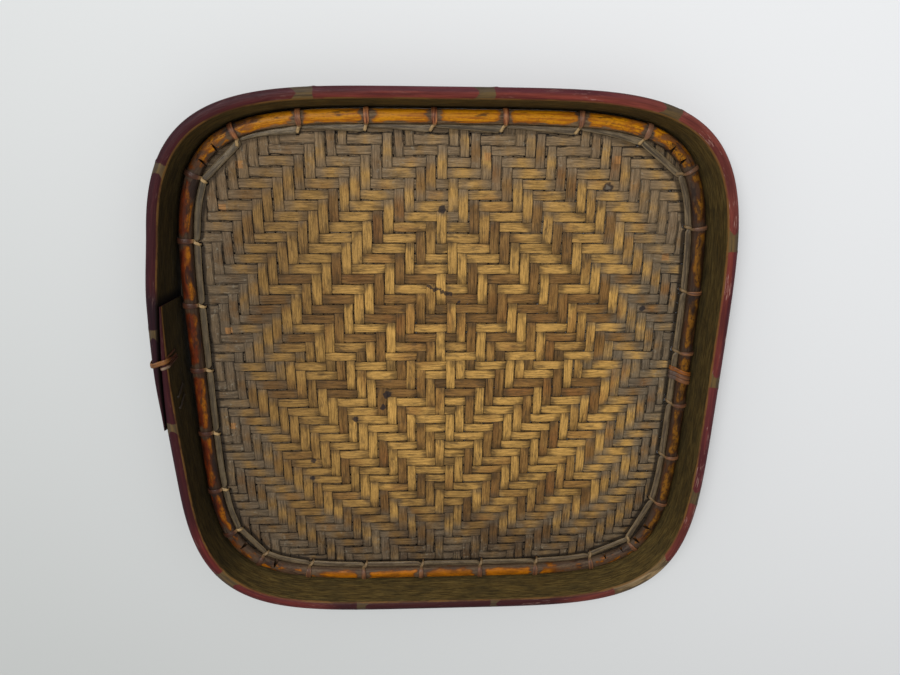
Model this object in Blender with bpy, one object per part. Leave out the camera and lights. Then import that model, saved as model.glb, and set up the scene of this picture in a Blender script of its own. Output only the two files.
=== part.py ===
"""Rice basket: a square woven tray with rounded corners, walled by one bent bamboo hoop.

The tray lies flat with its open side up. The origin is on the ground under its middle, +Z is up
and +X and +Y run along its sides. The woven mat is held between two half-round bamboo rings, one
on it and one under it. Cane stitches wrap both rings through holes in the mat, and each stitch
runs on along the ring to the next. The hoop stands round the rings, scarfed to itself on the left.
Places along the rim are shares of its outer line, counter-clockwise from the middle of the right.
"""

import math

import bmesh
import bpy
import numpy as np
from mathutils import Vector

OBJECT_NAME = "rice_basket"

# Hoop. All lengths are in metres.
TRAY_WIDTH = 0.460
OUTLINE_POWER = 4.6
HOOP_HEIGHT = 0.0385
HOOP_THICKNESS = 0.009
WALL_LEAN = 0.007
CROWN_RISE = 0.003
CROWN_POINTS = 5

# Scarf joint of the hoop's two ends.
LAP_CENTRE_SHARE = 0.492
LAP_LENGTH = 0.107
LAP_TIP = 0.0015
LAP_GAP = 0.0005
LAP_EASE = 0.060
LAP_BULGE = 0.003

# Rings of split bamboo above and below the mat.
RING_WIDTH = 0.011
RING_HEIGHT = 0.006
RING_FLANK = 0.002
UNDER_RING_WIDTH = 0.011
UNDER_RING_HEIGHT = 0.0042
UNDER_RING_FLANK = 0.0015
RING_ARCH_POINTS = 7
RING_SCARF_LENGTH = 0.024
RING_SCARF_SLIT = 0.0006
RING_JOINT_SHARE = 0.9961
UNDER_RING_JOINT_SHARE = 0.72

# Kerfs sawn into the inner ring so that it bends round the corners.
KERF_SHARES = (0.1207, 0.1319, 0.3696, 0.3825, 0.6172, 0.6471, 0.8805, 0.8946)
KERF_WIDTH = 0.0012
KERF_DEPTH = 0.0045

# Woven mat.
MAT_THICKNESS = 0.0022

# Cane and the clearances round it.
CANE_WIDTH = 0.0042
CANE_THICKNESS = 0.001
FIT_GAP = 0.0003
FOOT_CLEARANCE = 0.0005

# Stitches: the share of the first one, then each step to the next in shares of the mean step.
FIRST_STITCH_SHARE = 0.0094
STITCH_STEP_SHARES = (
    0.96, 1.01, 1.00, 1.13, 1.04, 1.06, 0.96, 0.90, 0.93, 1.01,
    1.12, 1.06, 0.97, 1.01, 1.05, 1.05, 0.93, 0.96, 0.99, 0.97,
    0.97, 1.00, 0.95, 1.02, 1.01, 1.17, 0.93, 0.94, 0.87,
)
NECK_WIDTH = 0.0024
FOOT_WIDTH = 0.003
HOLE_BACK = 0.0012
RUN_FULL_WIDTH_SHARES = (0.15, 0.85)
OVER_RING_POINTS = 8
UNDER_RING_POINTS = 6

# Winding over the joint of the inner ring.
WRAP_TURNS = 3
WRAP_CANE_WIDTH = 0.003
WRAP_SPACE = 0.0008

# Cane tie over the rim at the scarf, and the two small ties through the wall below it.
RIM_TIE_SHARE = 0.4883
RIM_TIE_HOLE_HEIGHT = 0.023
RIM_TIE_SLANT = 0.009
WALL_TIE_SHARES = (0.5058, 0.5119)
WALL_TIE_WIDTH = 0.002
WALL_TIE_LOW = 0.0205
WALL_TIE_HIGH = 0.0285
WALL_TIE_SLANT = 0.008
WALL_TIE_POINT_SHARES = (0.25, 0.75)

# How finely the long pieces follow the outline.
OUTLINE_SAMPLES = 1440
LONGEST_STEP = 0.027
SHARPEST_TURN = math.radians(5.5)
CUT_OVERRUN = 0.002

# Heights of the stack, from the ground up.
UNDER_RING_BOTTOM = FOOT_CLEARANCE + CANE_THICKNESS + FIT_GAP
UNDER_RING_TOP = UNDER_RING_BOTTOM + UNDER_RING_HEIGHT
UNDER_FLANK_LOW = UNDER_RING_TOP - UNDER_RING_FLANK
MAT_BOTTOM = UNDER_RING_TOP + FIT_GAP
MAT_TOP = MAT_BOTTOM + MAT_THICKNESS
RING_BOTTOM = MAT_TOP + FIT_GAP
RING_FLANK_TOP = RING_BOTTOM + RING_FLANK
RING_TOP = RING_BOTTOM + RING_HEIGHT

# Where the straight wall ends and the crowned top edge begins.
SHOULDER_HEIGHT = HOOP_HEIGHT - CROWN_RISE

# Cane lies this far off what it wraps, measured to the middle of its thickness.
CANE_OFFSET = FIT_GAP + CANE_THICKNESS / 2
CANE_SPACE = CANE_THICKNESS + 2 * FIT_GAP


def lean_at(height):
    """How far inward the leaning wall has moved at a height, from its place at the shoulder."""
    return WALL_LEAN * (1 - height / SHOULDER_HEIGHT)


def wall_inset(height):
    """How far the wall's inner face lies inside the rim's outer line at a height."""
    return HOOP_THICKNESS + lean_at(height)


RING_CENTRE_INSET = wall_inset(RING_BOTTOM) + CANE_SPACE + RING_WIDTH / 2
UNDER_RING_CENTRE_INSET = wall_inset(UNDER_FLANK_LOW) + CANE_SPACE + UNDER_RING_WIDTH / 2
RUN_INSET = RING_CENTRE_INSET + RING_WIDTH / 2 + FIT_GAP + CANE_WIDTH / 2
HOLE_INSET = UNDER_RING_CENTRE_INSET + UNDER_RING_WIDTH / 2 + FIT_GAP + NECK_WIDTH / 2
RUN_HEIGHT = MAT_TOP + CANE_OFFSET
WRAP_HOLE_INSET = RUN_INSET + CANE_WIDTH / 2 + CANE_SPACE


class Outline:
    """The rim's outer line seen from above, a square with swelling sides and round corners."""

    def __init__(self, half_width, power):
        angles = np.linspace(0, 2 * math.pi, OUTLINE_SAMPLES, endpoint=False)
        cosines = np.cos(angles)
        sines = np.sin(angles)
        reach = half_width / (np.abs(cosines) ** power + np.abs(sines) ** power) ** (1 / power)
        points = np.column_stack((reach * cosines, reach * sines))
        steps = np.roll(points, -1, axis=0) - points
        lengths = np.hypot(steps[:, 0], steps[:, 1])
        headings = np.unwrap(np.arctan2(steps[:, 1], steps[:, 0]))
        turns = np.diff(np.append(headings, headings[0] + 2 * math.pi))
        tangents = np.roll(points, -1, axis=0) - np.roll(points, 1, axis=0)
        tangents /= np.hypot(tangents[:, 0], tangents[:, 1])[:, None]
        self.length = lengths.sum()
        self.shares = np.append(0, np.cumsum(lengths)) / self.length
        self.points = np.vstack((points, points[:1]))
        self.tangents = np.vstack((tangents, tangents[:1]))
        effort = lengths / LONGEST_STEP + np.abs(turns) / SHARPEST_TURN
        self.effort = np.append(0, np.cumsum(effort))
        self.shift_x = 0

    def at(self, share):
        """Point, tangent and inward normal at a share of the length."""
        place = share % 1
        point = [np.interp(place, self.shares, self.points[:, axis]) for axis in (0, 1)]
        tangent = [np.interp(place, self.shares, self.tangents[:, axis]) for axis in (0, 1)]
        along = Vector((tangent[0], tangent[1], 0)).normalized()
        inward = Vector((-along.y, along.x, 0))
        return Vector((point[0] + self.shift_x, point[1], 0)), along, inward

    def place(self, share, inset, height):
        """The point at an inset from the outer line and a height above the ground."""
        point, _, inward = self.at(share)
        return point + inward * inset + Vector((0, 0, height))

    def stations(self, first=0, last=1):
        """Shares between two shares, closer together where the line turns."""
        marks = np.interp((first % 1, last % 1), self.shares, self.effort)
        total = self.effort[-1]
        start = marks[0] + math.floor(first) * total
        finish = marks[1] + math.floor(last) * total
        count = math.ceil(finish - start)
        efforts = np.linspace(start, finish, count + 1)
        laps = np.floor(efforts / total)
        return np.interp(efforts - laps * total, self.effort, self.shares) + laps

    def share_of(self, length):
        return length / self.length


OUTLINE = Outline(TRAY_WIDTH / 2, OUTLINE_POWER)


def clear_scene():
    for item in list(bpy.data.objects):
        bpy.data.objects.remove(item, do_unlink=True)


def new_collection(name):
    collection = bpy.data.collections.new(name)
    bpy.context.scene.collection.children.link(collection)
    return collection


def new_material(name, colour, roughness, coat=0):
    material = bpy.data.materials.new(name)
    material.use_nodes = True
    shader = material.node_tree.nodes["Principled BSDF"]
    shader.inputs["Base Color"].default_value = (*colour, 1)
    shader.inputs["Roughness"].default_value = roughness
    shader.inputs["Metallic"].default_value = 0
    shader.inputs["Coat Weight"].default_value = coat
    material.diffuse_color = (*colour, 1)
    return material


def add_object(name, data, collection, material=None):
    item = bpy.data.objects.new(name, data)
    collection.objects.link(item)
    if material:
        data.materials.append(material)
    return item


def hide_guide(item):
    item.hide_render = True
    item.display_type = "WIRE"


def loft(name, rings, collection, material=None, closed=False):
    """Skin a row of section rings into one solid. An open row gets flat ends."""
    mesh = bpy.data.meshes.new(name)
    bm = bmesh.new()
    rows = [[bm.verts.new(point) for point in ring] for ring in rings]
    pairs = list(zip(rows, rows[1:]))
    if closed:
        pairs.append((rows[-1], rows[0]))
    for near, far in pairs:
        for side in range(len(near)):
            after = (side + 1) % len(near)
            bm.faces.new((near[side], near[after], far[after], far[side]))
    if not closed:
        bm.faces.new(rows[0])
        bm.faces.new(rows[-1])
    bmesh.ops.recalc_face_normals(bm, faces=bm.faces)
    bm.to_mesh(mesh)
    bm.free()
    return add_object(name, mesh, collection, material)


def box_cutter(name, boxes, collection):
    """One cutter of several boxes, each given by its centre, its three axes and its size."""
    mesh = bpy.data.meshes.new(name)
    bm = bmesh.new()
    for centre, axes, size in boxes:
        made = bmesh.ops.create_cube(bm, size=1)
        for vert in made["verts"]:
            across = [axis * (part * full) for axis, part, full in zip(axes, vert.co, size)]
            vert.co = centre + across[0] + across[1] + across[2]
    bmesh.ops.recalc_face_normals(bm, faces=bm.faces)
    bm.to_mesh(mesh)
    bm.free()
    cutter = add_object(name, mesh, collection)
    hide_guide(cutter)
    return cutter


def cut(item, cutter):
    modifier = item.modifiers.new("cut " + cutter.name, "BOOLEAN")
    modifier.operation = "DIFFERENCE"
    modifier.solver = "EXACT"
    modifier.object = cutter


def smooth_ramp(value):
    """Ease from 0 to 1 as value goes from 0 to 1."""
    held = min(max(value, 0), 1)
    return held * held * (3 - 2 * held)


def lap_progress(share):
    """Lengths of lap from the lap's start to a share, counted on the turn that share is on."""
    start = LAP_CENTRE_SHARE - OUTLINE.share_of(LAP_LENGTH) / 2
    return (share - start) / OUTLINE.share_of(LAP_LENGTH)


def lap_swell(share):
    """How far the hoop stands outside the outline beside its scarf."""
    nearest = (share - LAP_CENTRE_SHARE + 0.5) % 1 - 0.5
    distance = abs(nearest) * OUTLINE.length
    reach = LAP_LENGTH / 2 + LAP_EASE
    return LAP_BULGE * smooth_ramp((reach - distance) / reach)


def inner_end_insets(share):
    """Outer and inner insets of the hoop on its first turn, whose start is feathered outside."""
    fullness = min(max(lap_progress(share), 0), 1)
    thickness = LAP_TIP + (HOOP_THICKNESS - LAP_TIP) * fullness
    swell = lap_swell(share)
    return HOOP_THICKNESS - thickness - swell, HOOP_THICKNESS - swell


def outer_end_insets(share):
    """Outer and inner insets of the hoop as its last stretch climbs over the first."""
    progress = lap_progress(share - 1)
    step_out = smooth_ramp(1 + progress * LAP_LENGTH / LAP_EASE)
    fullness = 1 - min(max(progress, 0), 1)
    thickness = LAP_TIP + (HOOP_THICKNESS - LAP_TIP) * fullness
    outer_of_inner = inner_end_insets(share - 1)[0]
    inner = outer_of_inner - LAP_GAP
    if progress < 0:
        plain = HOOP_THICKNESS - lap_swell(share)
        inner = plain - (LAP_TIP + LAP_GAP) * step_out
    return inner - thickness, inner


def hoop_section(share, insets):
    """Section of the leaning wall: a flat foot and a crowned top edge."""
    outer, inner = insets
    corners = [(outer, 0), (inner, 0)]
    for index in range(CROWN_POINTS):
        angle = math.pi * index / (CROWN_POINTS - 1)
        across = inner + (outer - inner) * (1 - math.cos(angle)) / 2
        corners.append((across, HOOP_HEIGHT - CROWN_RISE * (1 - math.sin(angle))))
    section = []
    for inset, height in corners:
        section.append(OUTLINE.place(share, inset + lean_at(height), height))
    return section


def hoop_rings():
    lap_half = OUTLINE.share_of(LAP_LENGTH) / 2
    start = LAP_CENTRE_SHARE - lap_half
    turn_end = start + 1
    first_turn = OUTLINE.stations(start, turn_end - OUTLINE.share_of(LAP_EASE))
    last_turn = OUTLINE.stations(turn_end - OUTLINE.share_of(LAP_EASE), LAP_CENTRE_SHARE + lap_half + 1)
    rings = [hoop_section(share, inner_end_insets(share)) for share in first_turn]
    rings += [hoop_section(share, outer_end_insets(share)) for share in last_turn[1:]]
    return rings


def centre_on_box():
    """Shift the outline so that the middle of the part's box is at the origin."""
    reach = [corner.x for ring in hoop_rings() for corner in ring]
    reach += [place.x - CANE_THICKNESS / 2 for place in rim_tie_places()]
    OUTLINE.shift_x = -(min(reach) + max(reach)) / 2


def strand_section(centre, forward, width_axis, width):
    """Corners of a flat strand of cane, square to the way it runs."""
    across = (width_axis - forward * width_axis.dot(forward)).normalized() * (width / 2)
    up = forward.cross(across).normalized() * (CANE_THICKNESS / 2)
    return [centre + across + up, centre - across + up, centre - across - up, centre + across - up]


def strand(name, points, collection, material, closed=False):
    """Sweep a flat strand along points, each a centre, a width direction and a width."""
    rings = []
    for index, (centre, width_axis, width) in enumerate(points):
        before = points[index - 1] if closed else points[max(index - 1, 0)]
        after = points[(index + 1) % len(points)] if closed else points[min(index + 1, len(points) - 1)]
        forward = (after[0] - before[0]).normalized()
        rings.append(strand_section(centre, forward, width_axis, width))
    return loft(name, rings, collection, material, closed)


def arch(centre_inset, level, half_width, rise, first, last, count):
    """Insets and heights along an elliptical arch, from one angle to another."""
    angles = [first + (last - first) * index / (count - 1) for index in range(count)]
    return [(centre_inset + half_width * math.cos(a), level + rise * math.sin(a)) for a in angles]


def over_ring():
    """Path of cane over the inner ring, from its outer flank to its inner flank."""
    half_width = RING_WIDTH / 2 + CANE_OFFSET
    rise = RING_TOP - RING_FLANK_TOP + CANE_OFFSET
    return arch(RING_CENTRE_INSET, RING_FLANK_TOP, half_width, rise, math.pi, 0, OVER_RING_POINTS)


def under_ring():
    """Path of cane under the lower ring, from its inner flank to its outer flank."""
    half_width = UNDER_RING_WIDTH / 2 + CANE_OFFSET
    rise = UNDER_FLANK_LOW - UNDER_RING_BOTTOM + CANE_OFFSET
    turn = (2 * math.pi, math.pi)
    return arch(UNDER_RING_CENTRE_INSET, UNDER_FLANK_LOW, half_width, rise, *turn, UNDER_RING_POINTS)


def mat_inset():
    """The mat's edge keeps clear of the cane that passes outside it."""
    low_inset, low_height = under_ring()[-1]
    high_inset, high_height = over_ring()[0]
    rise_share = (MAT_BOTTOM - low_height) / (high_height - low_height)
    return low_inset + (high_inset - low_inset) * rise_share + CANE_OFFSET + FIT_GAP


def stitch_shares():
    """The share of every stitch, counter-clockwise."""
    total = sum(STITCH_STEP_SHARES)
    places = [FIRST_STITCH_SHARE]
    for step in STITCH_STEP_SHARES[:-1]:
        places.append(places[-1] + step / total)
    return places


def make_hoop(parts, cutters, material):
    hoop = loft("hoop", hoop_rings(), parts, material)
    through = HOOP_THICKNESS + LAP_TIP + LAP_GAP + LAP_BULGE + 2 * CUT_OVERRUN
    slot = CANE_THICKNESS + 2 * FIT_GAP
    holes = [(RIM_TIE_SHARE - OUTLINE.share_of(RIM_TIE_SLANT), RIM_TIE_HOLE_HEIGHT, CANE_WIDTH)]
    for share in WALL_TIE_SHARES:
        slant = OUTLINE.share_of(WALL_TIE_SLANT) / 2
        holes.append((share - slant, WALL_TIE_HIGH, WALL_TIE_WIDTH))
        holes.append((share + slant, WALL_TIE_LOW, WALL_TIE_WIDTH))
    boxes = []
    for share, height, width in holes:
        _, along, inward = OUTLINE.at(share)
        middle = (lap_faces(share)[0] + lap_faces(share)[1]) / 2 + lean_at(height)
        centre = OUTLINE.place(share, middle, height)
        size = (width + 2 * FIT_GAP, through, slot)
        boxes.append((centre, (along, inward, Vector((0, 0, 1))), size))
    cut(hoop, box_cutter("hoop_hole_cutter", boxes, cutters))


def lap_faces(share):
    """Outermost and innermost insets of the hoop where its two ends lie side by side."""
    return outer_end_insets(share + 1)[0], inner_end_insets(share)[1]


def half_round_profile(name, width, height, flank, direction, cutters):
    """Section of a split bamboo: a flat face at zero and a round back towards direction."""
    crown = height - flank
    corners = [(-width / 2, 0)]
    for index in range(RING_ARCH_POINTS):
        angle = math.pi * (1 - index / (RING_ARCH_POINTS - 1))
        corners.append((width / 2 * math.cos(angle), flank + crown * math.sin(angle)))
    corners.append((width / 2, 0))
    curve = bpy.data.curves.new(name, "CURVE")
    curve.dimensions = "2D"
    line = curve.splines.new("POLY")
    line.points.add(len(corners) - 1)
    for point, (across, up) in zip(line.points, corners):
        point.co = (across, up * direction, 0, 1)
    line.use_cyclic_u = True
    profile = add_object(name, curve, cutters)
    hide_guide(profile)
    return profile


def bent_ring(name, inset, level, profile, parts, material):
    """Bend a split bamboo of the given profile round the outline, as a mesh."""
    curve = bpy.data.curves.new(name + "_path", "CURVE")
    curve.dimensions = "2D"
    curve.fill_mode = "NONE"
    curve.bevel_mode = "OBJECT"
    curve.bevel_object = profile
    line = curve.splines.new("POLY")
    shares = OUTLINE.stations()[:-1]
    line.points.add(len(shares) - 1)
    for point, share in zip(line.points, shares):
        spot = OUTLINE.place(share, inset, 0)
        point.co = (spot.x, spot.y, 0, 1)
    line.use_cyclic_u = True
    path = add_object(name + "_path", curve, parts)
    path.location.z = level
    bpy.context.view_layer.update()
    depsgraph = bpy.context.evaluated_depsgraph_get()
    mesh = bpy.data.meshes.new_from_object(path.evaluated_get(depsgraph))
    bm = bmesh.new()
    bm.from_mesh(mesh)
    bmesh.ops.remove_doubles(bm, verts=bm.verts, dist=FIT_GAP / 10)
    bmesh.ops.recalc_face_normals(bm, faces=bm.faces)
    bm.to_mesh(mesh)
    bm.free()
    mesh.materials.clear()
    ring = add_object(name, mesh, parts, material)
    ring.matrix_world = path.matrix_world
    bpy.data.objects.remove(path, do_unlink=True)
    return ring


def scarf_box(share, inset, level, width, height):
    """A thin slanting slit through a ring, where its two ends meet."""
    _, along, inward = OUTLINE.at(share)
    slope = math.atan2(width, RING_SCARF_LENGTH)
    run = along * math.cos(slope) + inward * math.sin(slope)
    across = inward * math.cos(slope) - along * math.sin(slope)
    centre = OUTLINE.place(share, inset, level + height / 2)
    length = math.hypot(width, RING_SCARF_LENGTH) * 2
    return centre, (run, across, Vector((0, 0, 1))), (length, RING_SCARF_SLIT, height + 2 * CUT_OVERRUN)


def make_inner_ring(parts, cutters, material):
    profile = half_round_profile("ring_profile", RING_WIDTH, RING_HEIGHT, RING_FLANK, 1, cutters)
    ring = bent_ring("inner_ring", RING_CENTRE_INSET, RING_BOTTOM, profile, parts, material)
    boxes = [scarf_box(RING_JOINT_SHARE, RING_CENTRE_INSET, RING_BOTTOM, RING_WIDTH, RING_HEIGHT)]
    for share in KERF_SHARES:
        _, along, inward = OUTLINE.at(share)
        inset = RING_CENTRE_INSET + RING_WIDTH / 2 - KERF_DEPTH / 2 + CUT_OVERRUN / 2
        centre = OUTLINE.place(share, inset, RING_BOTTOM + RING_HEIGHT / 2)
        size = (KERF_WIDTH, KERF_DEPTH + CUT_OVERRUN, RING_HEIGHT + 2 * CUT_OVERRUN)
        boxes.append((centre, (along, inward, Vector((0, 0, 1))), size))
    cut(ring, box_cutter("ring_cutter", boxes, cutters))


def make_under_ring(parts, cutters, material):
    profile = half_round_profile(
        "under_ring_profile", UNDER_RING_WIDTH, UNDER_RING_HEIGHT, UNDER_RING_FLANK, -1, cutters
    )
    ring = bent_ring("under_ring", UNDER_RING_CENTRE_INSET, UNDER_RING_TOP, profile, parts, material)
    slit = scarf_box(
        UNDER_RING_JOINT_SHARE, UNDER_RING_CENTRE_INSET, UNDER_RING_BOTTOM,
        UNDER_RING_WIDTH, UNDER_RING_HEIGHT,
    )
    cut(ring, box_cutter("under_ring_cutter", [slit], cutters))


def add_outline_spline(curve, spots):
    line = curve.splines.new("POLY")
    line.points.add(len(spots) - 1)
    for point, spot in zip(line.points, spots):
        point.co = (spot.x, spot.y, 0, 1)
    line.use_cyclic_u = True


def mat_hole(share, back, front, half_width, inset):
    """Corners of one hole in the mat, from behind its middle to in front of it."""
    middle = OUTLINE.place(share, inset, 0)
    _, along, inward = OUTLINE.at(share)
    corners = ((-back, -half_width), (front, -half_width), (front, half_width), (-back, half_width))
    return [middle + along * run + inward * across for run, across in corners]


def make_mat(parts, material):
    """The mat as a flat panel with its true edge and a hole at every stitch."""
    curve = bpy.data.curves.new("woven_mat", "CURVE")
    curve.dimensions = "2D"
    curve.fill_mode = "BOTH"
    curve.extrude = MAT_THICKNESS / 2
    edge = mat_inset()
    add_outline_spline(curve, [OUTLINE.place(share, edge, 0) for share in OUTLINE.stations()[:-1]])
    front = CANE_THICKNESS / 2 + FIT_GAP
    half_width = NECK_WIDTH / 2 + FIT_GAP
    for share in stitch_shares():
        add_outline_spline(curve, mat_hole(share, front + HOLE_BACK, front, half_width, HOLE_INSET))
    wrap_half = WRAP_TURNS * (WRAP_CANE_WIDTH + WRAP_SPACE) / 2 + FIT_GAP
    add_outline_spline(
        curve, mat_hole(RING_JOINT_SHARE, wrap_half, wrap_half, CANE_OFFSET, WRAP_HOLE_INSET)
    )
    mat = add_object("woven_mat", curve, parts, material)
    mat.location.z = (MAT_BOTTOM + MAT_TOP) / 2


def stitch_points(share, previous_share):
    """One stitch: the run from the last hole, down this hole, round both rings, onto the run."""
    _, along, inward = OUTLINE.at(share)
    upward = Vector((0, 0, 1))
    clear = CANE_THICKNESS + FIT_GAP
    bend = CANE_THICKNESS * 2
    run_start = previous_share + OUTLINE.share_of(clear)
    run_end = share - OUTLINE.share_of(bend)
    start = OUTLINE.place(run_start, RUN_INSET, RUN_HEIGHT)
    end = OUTLINE.place(run_end, RUN_INSET, RUN_HEIGHT)
    points = [(start, OUTLINE.at(run_start)[2], NECK_WIDTH)]
    for part in RUN_FULL_WIDTH_SHARES:
        side = OUTLINE.at(run_start + (run_end - run_start) * part)[2]
        points.append((start.lerp(end, part), side, CANE_WIDTH))
    points.append((end, inward, CANE_WIDTH))
    hole = OUTLINE.place(share, HOLE_INSET, 0)
    points.append((hole - along * (CANE_THICKNESS / 2) + upward * MAT_TOP, inward, NECK_WIDTH))
    points.append((hole + upward * MAT_BOTTOM, inward, NECK_WIDTH))
    for inset, height in under_ring():
        points.append((OUTLINE.place(share, inset, height), along, CANE_WIDTH))
    for inset, height in over_ring():
        points.append((OUTLINE.place(share, inset, height), along, CANE_WIDTH))
    foot_height = RUN_HEIGHT + CANE_THICKNESS + FIT_GAP
    points.append((OUTLINE.place(share, RUN_INSET, foot_height), along, FOOT_WIDTH))
    return points


def make_stitches(parts, material):
    shares = stitch_shares()
    for index, share in enumerate(shares):
        previous = shares[index - 1] - (1 if index == 0 else 0)
        strand(f"cane_stitch_{index + 1:02d}", stitch_points(share, previous), parts, material)


def wrap_loop():
    """One turn of the winding: over the ring and the run beside it, then under the lower ring."""
    on_run = RUN_HEIGHT + CANE_THICKNESS + FIT_GAP
    return over_ring()[:-1] + [
        (RUN_INSET, on_run),
        (WRAP_HOLE_INSET - CANE_THICKNESS / 2, on_run - CANE_THICKNESS / 4),
        (WRAP_HOLE_INSET, RUN_HEIGHT),
        (WRAP_HOLE_INSET, MAT_BOTTOM - CANE_THICKNESS / 2),
        (WRAP_HOLE_INSET - CANE_THICKNESS / 2, MAT_BOTTOM - CANE_THICKNESS),
    ] + under_ring()[1:]


def make_ring_wrap(parts, material):
    """Cane wound round both rings over the joint of the inner one, as one unbroken strand."""
    loop = wrap_loop()
    steps = len(loop)
    pitch = WRAP_CANE_WIDTH + WRAP_SPACE
    points = []
    for index in range(WRAP_TURNS * steps):
        inset, height = loop[index % steps]
        travel = (index / steps - WRAP_TURNS / 2) * pitch + pitch / (2 * steps)
        share = RING_JOINT_SHARE + OUTLINE.share_of(travel)
        centre = OUTLINE.place(share, inset, height)
        points.append((centre, OUTLINE.at(share)[1], WRAP_CANE_WIDTH))
    strand("ring_joint_wrap", points, parts, material)
    gap = least_gap([point[0] for point in points], steps)
    print(f"ring_joint_wrap: least gap between turns {gap - WRAP_CANE_WIDTH:.5f} m")


def least_gap(centres, steps):
    """Least distance between the middles of one turn and the next."""
    gaps = []
    for index, centre in enumerate(centres):
        gaps += [(centre - other).length for other in centres[index + steps // 2:]]
    return min(gaps)


def wall_point(share, face, height, outward):
    """Centre of cane lying on the hoop's inner face, or on its outer face if outward."""
    offset = -CANE_OFFSET if outward else CANE_OFFSET
    return OUTLINE.place(share, face + lean_at(height) + offset, height)


def rim_tie_places():
    """The way of the tie over the rim, down both faces and through one hole in both ends."""
    hole_share = RIM_TIE_SHARE - OUTLINE.share_of(RIM_TIE_SLANT)
    hole_outer, hole_inner = lap_faces(hole_share)
    rim_outer, rim_inner = lap_faces(RIM_TIE_SHARE)
    above_hole = RIM_TIE_HOLE_HEIGHT + 2 * CANE_THICKNESS
    below_crown = HOOP_HEIGHT - CANE_THICKNESS
    over_crown = HOOP_HEIGHT + CANE_OFFSET
    return [
        wall_point(hole_share, hole_inner, RIM_TIE_HOLE_HEIGHT, False),
        wall_point(hole_share, hole_inner, above_hole, False),
        wall_point(RIM_TIE_SHARE, rim_inner, below_crown, False),
        OUTLINE.place(RIM_TIE_SHARE, rim_inner, over_crown),
        OUTLINE.place(RIM_TIE_SHARE, rim_outer, over_crown),
        wall_point(RIM_TIE_SHARE, rim_outer, below_crown, True),
        wall_point(hole_share, hole_outer, above_hole, True),
        wall_point(hole_share, hole_outer, RIM_TIE_HOLE_HEIGHT, True),
    ]


def make_rim_tie(parts, material):
    along = OUTLINE.at(RIM_TIE_SHARE)[1]
    points = [(place, along, CANE_WIDTH) for place in rim_tie_places()]
    strand("rim_tie", points, parts, material, closed=True)


def make_wall_ties(parts, material):
    """Two slanting ties of thin cane through the scarf, low on the wall."""
    for index, share in enumerate(WALL_TIE_SHARES):
        slant = OUTLINE.share_of(WALL_TIE_SLANT) / 2
        along = OUTLINE.at(share)[1]
        corners = []
        for hole_share, height in ((share - slant, WALL_TIE_HIGH), (share + slant, WALL_TIE_LOW)):
            outer, inner = lap_faces(hole_share)
            corners.append((
                wall_point(hole_share, outer, height, True),
                wall_point(hole_share, inner, height, False),
            ))
        (high_out, high_in), (low_out, low_in) = corners
        places = [high_out, high_in]
        places += [high_in.lerp(low_in, part) for part in WALL_TIE_POINT_SHARES]
        places += [low_in, low_out]
        places += [low_out.lerp(high_out, part) for part in WALL_TIE_POINT_SHARES]
        points = [(place, along, WALL_TIE_WIDTH) for place in places]
        strand(f"wall_tie_{index + 1}", points, parts, material, closed=True)


def main():
    clear_scene()
    parts = new_collection(OBJECT_NAME)
    cutters = new_collection("cutters")
    centre_on_box()
    lacquered = new_material("lacquered_bamboo", (0.11, 0.025, 0.03), 0.4, 0.3)
    golden = new_material("golden_bamboo", (0.45, 0.19, 0.02), 0.35, 0.3)
    bare = new_material("bare_bamboo", (0.16, 0.11, 0.06), 0.7)
    woven = new_material("woven_bamboo", (0.30, 0.18, 0.07), 0.6)
    cane = new_material("cane", (0.19, 0.09, 0.05), 0.5)
    make_hoop(parts, cutters, lacquered)
    make_inner_ring(parts, cutters, golden)
    make_under_ring(parts, cutters, bare)
    make_mat(parts, woven)
    make_stitches(parts, cane)
    make_ring_wrap(parts, cane)
    make_rim_tie(parts, cane)
    make_wall_ties(parts, cane)


main()
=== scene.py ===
"""Looks of the rice basket, built round its CAD frame.

The file is laid out as an add-on and run as a script. Long pieces are modelled straight, as a
maker has them before bending, and are then bent round the rim. Each keeps its straight place in
the attribute "straight": metres along it, metres across it, and its height, or for strips and
canes a number that sets the grain of one apart from the next. A place along the rim is a share
of its length, counter-clockwise from the right.
"""

import math
from contextlib import contextmanager
from functools import cache, cached_property, reduce

import bpy
import numpy as np
from mathutils import Matrix, Vector
from mathutils.kdtree import KDTree


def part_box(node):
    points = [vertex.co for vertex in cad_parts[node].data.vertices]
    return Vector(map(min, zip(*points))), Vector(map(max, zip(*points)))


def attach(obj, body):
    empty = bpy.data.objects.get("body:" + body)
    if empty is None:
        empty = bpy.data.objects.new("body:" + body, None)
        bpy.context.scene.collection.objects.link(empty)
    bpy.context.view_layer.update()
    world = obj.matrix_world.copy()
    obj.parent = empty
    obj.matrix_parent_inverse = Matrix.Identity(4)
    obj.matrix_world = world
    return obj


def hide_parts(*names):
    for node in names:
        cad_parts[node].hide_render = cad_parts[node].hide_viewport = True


bl_info = {
    "name": "Rice basket",
    "version": (1, 0, 0),
    "blender": (4, 5, 0),
    "location": "View3D > Sidebar > Basket",
    "description": "Builds a woven rice basket with a lacquered hoop and laced rings",
    "category": "Add Mesh",
}

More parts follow.
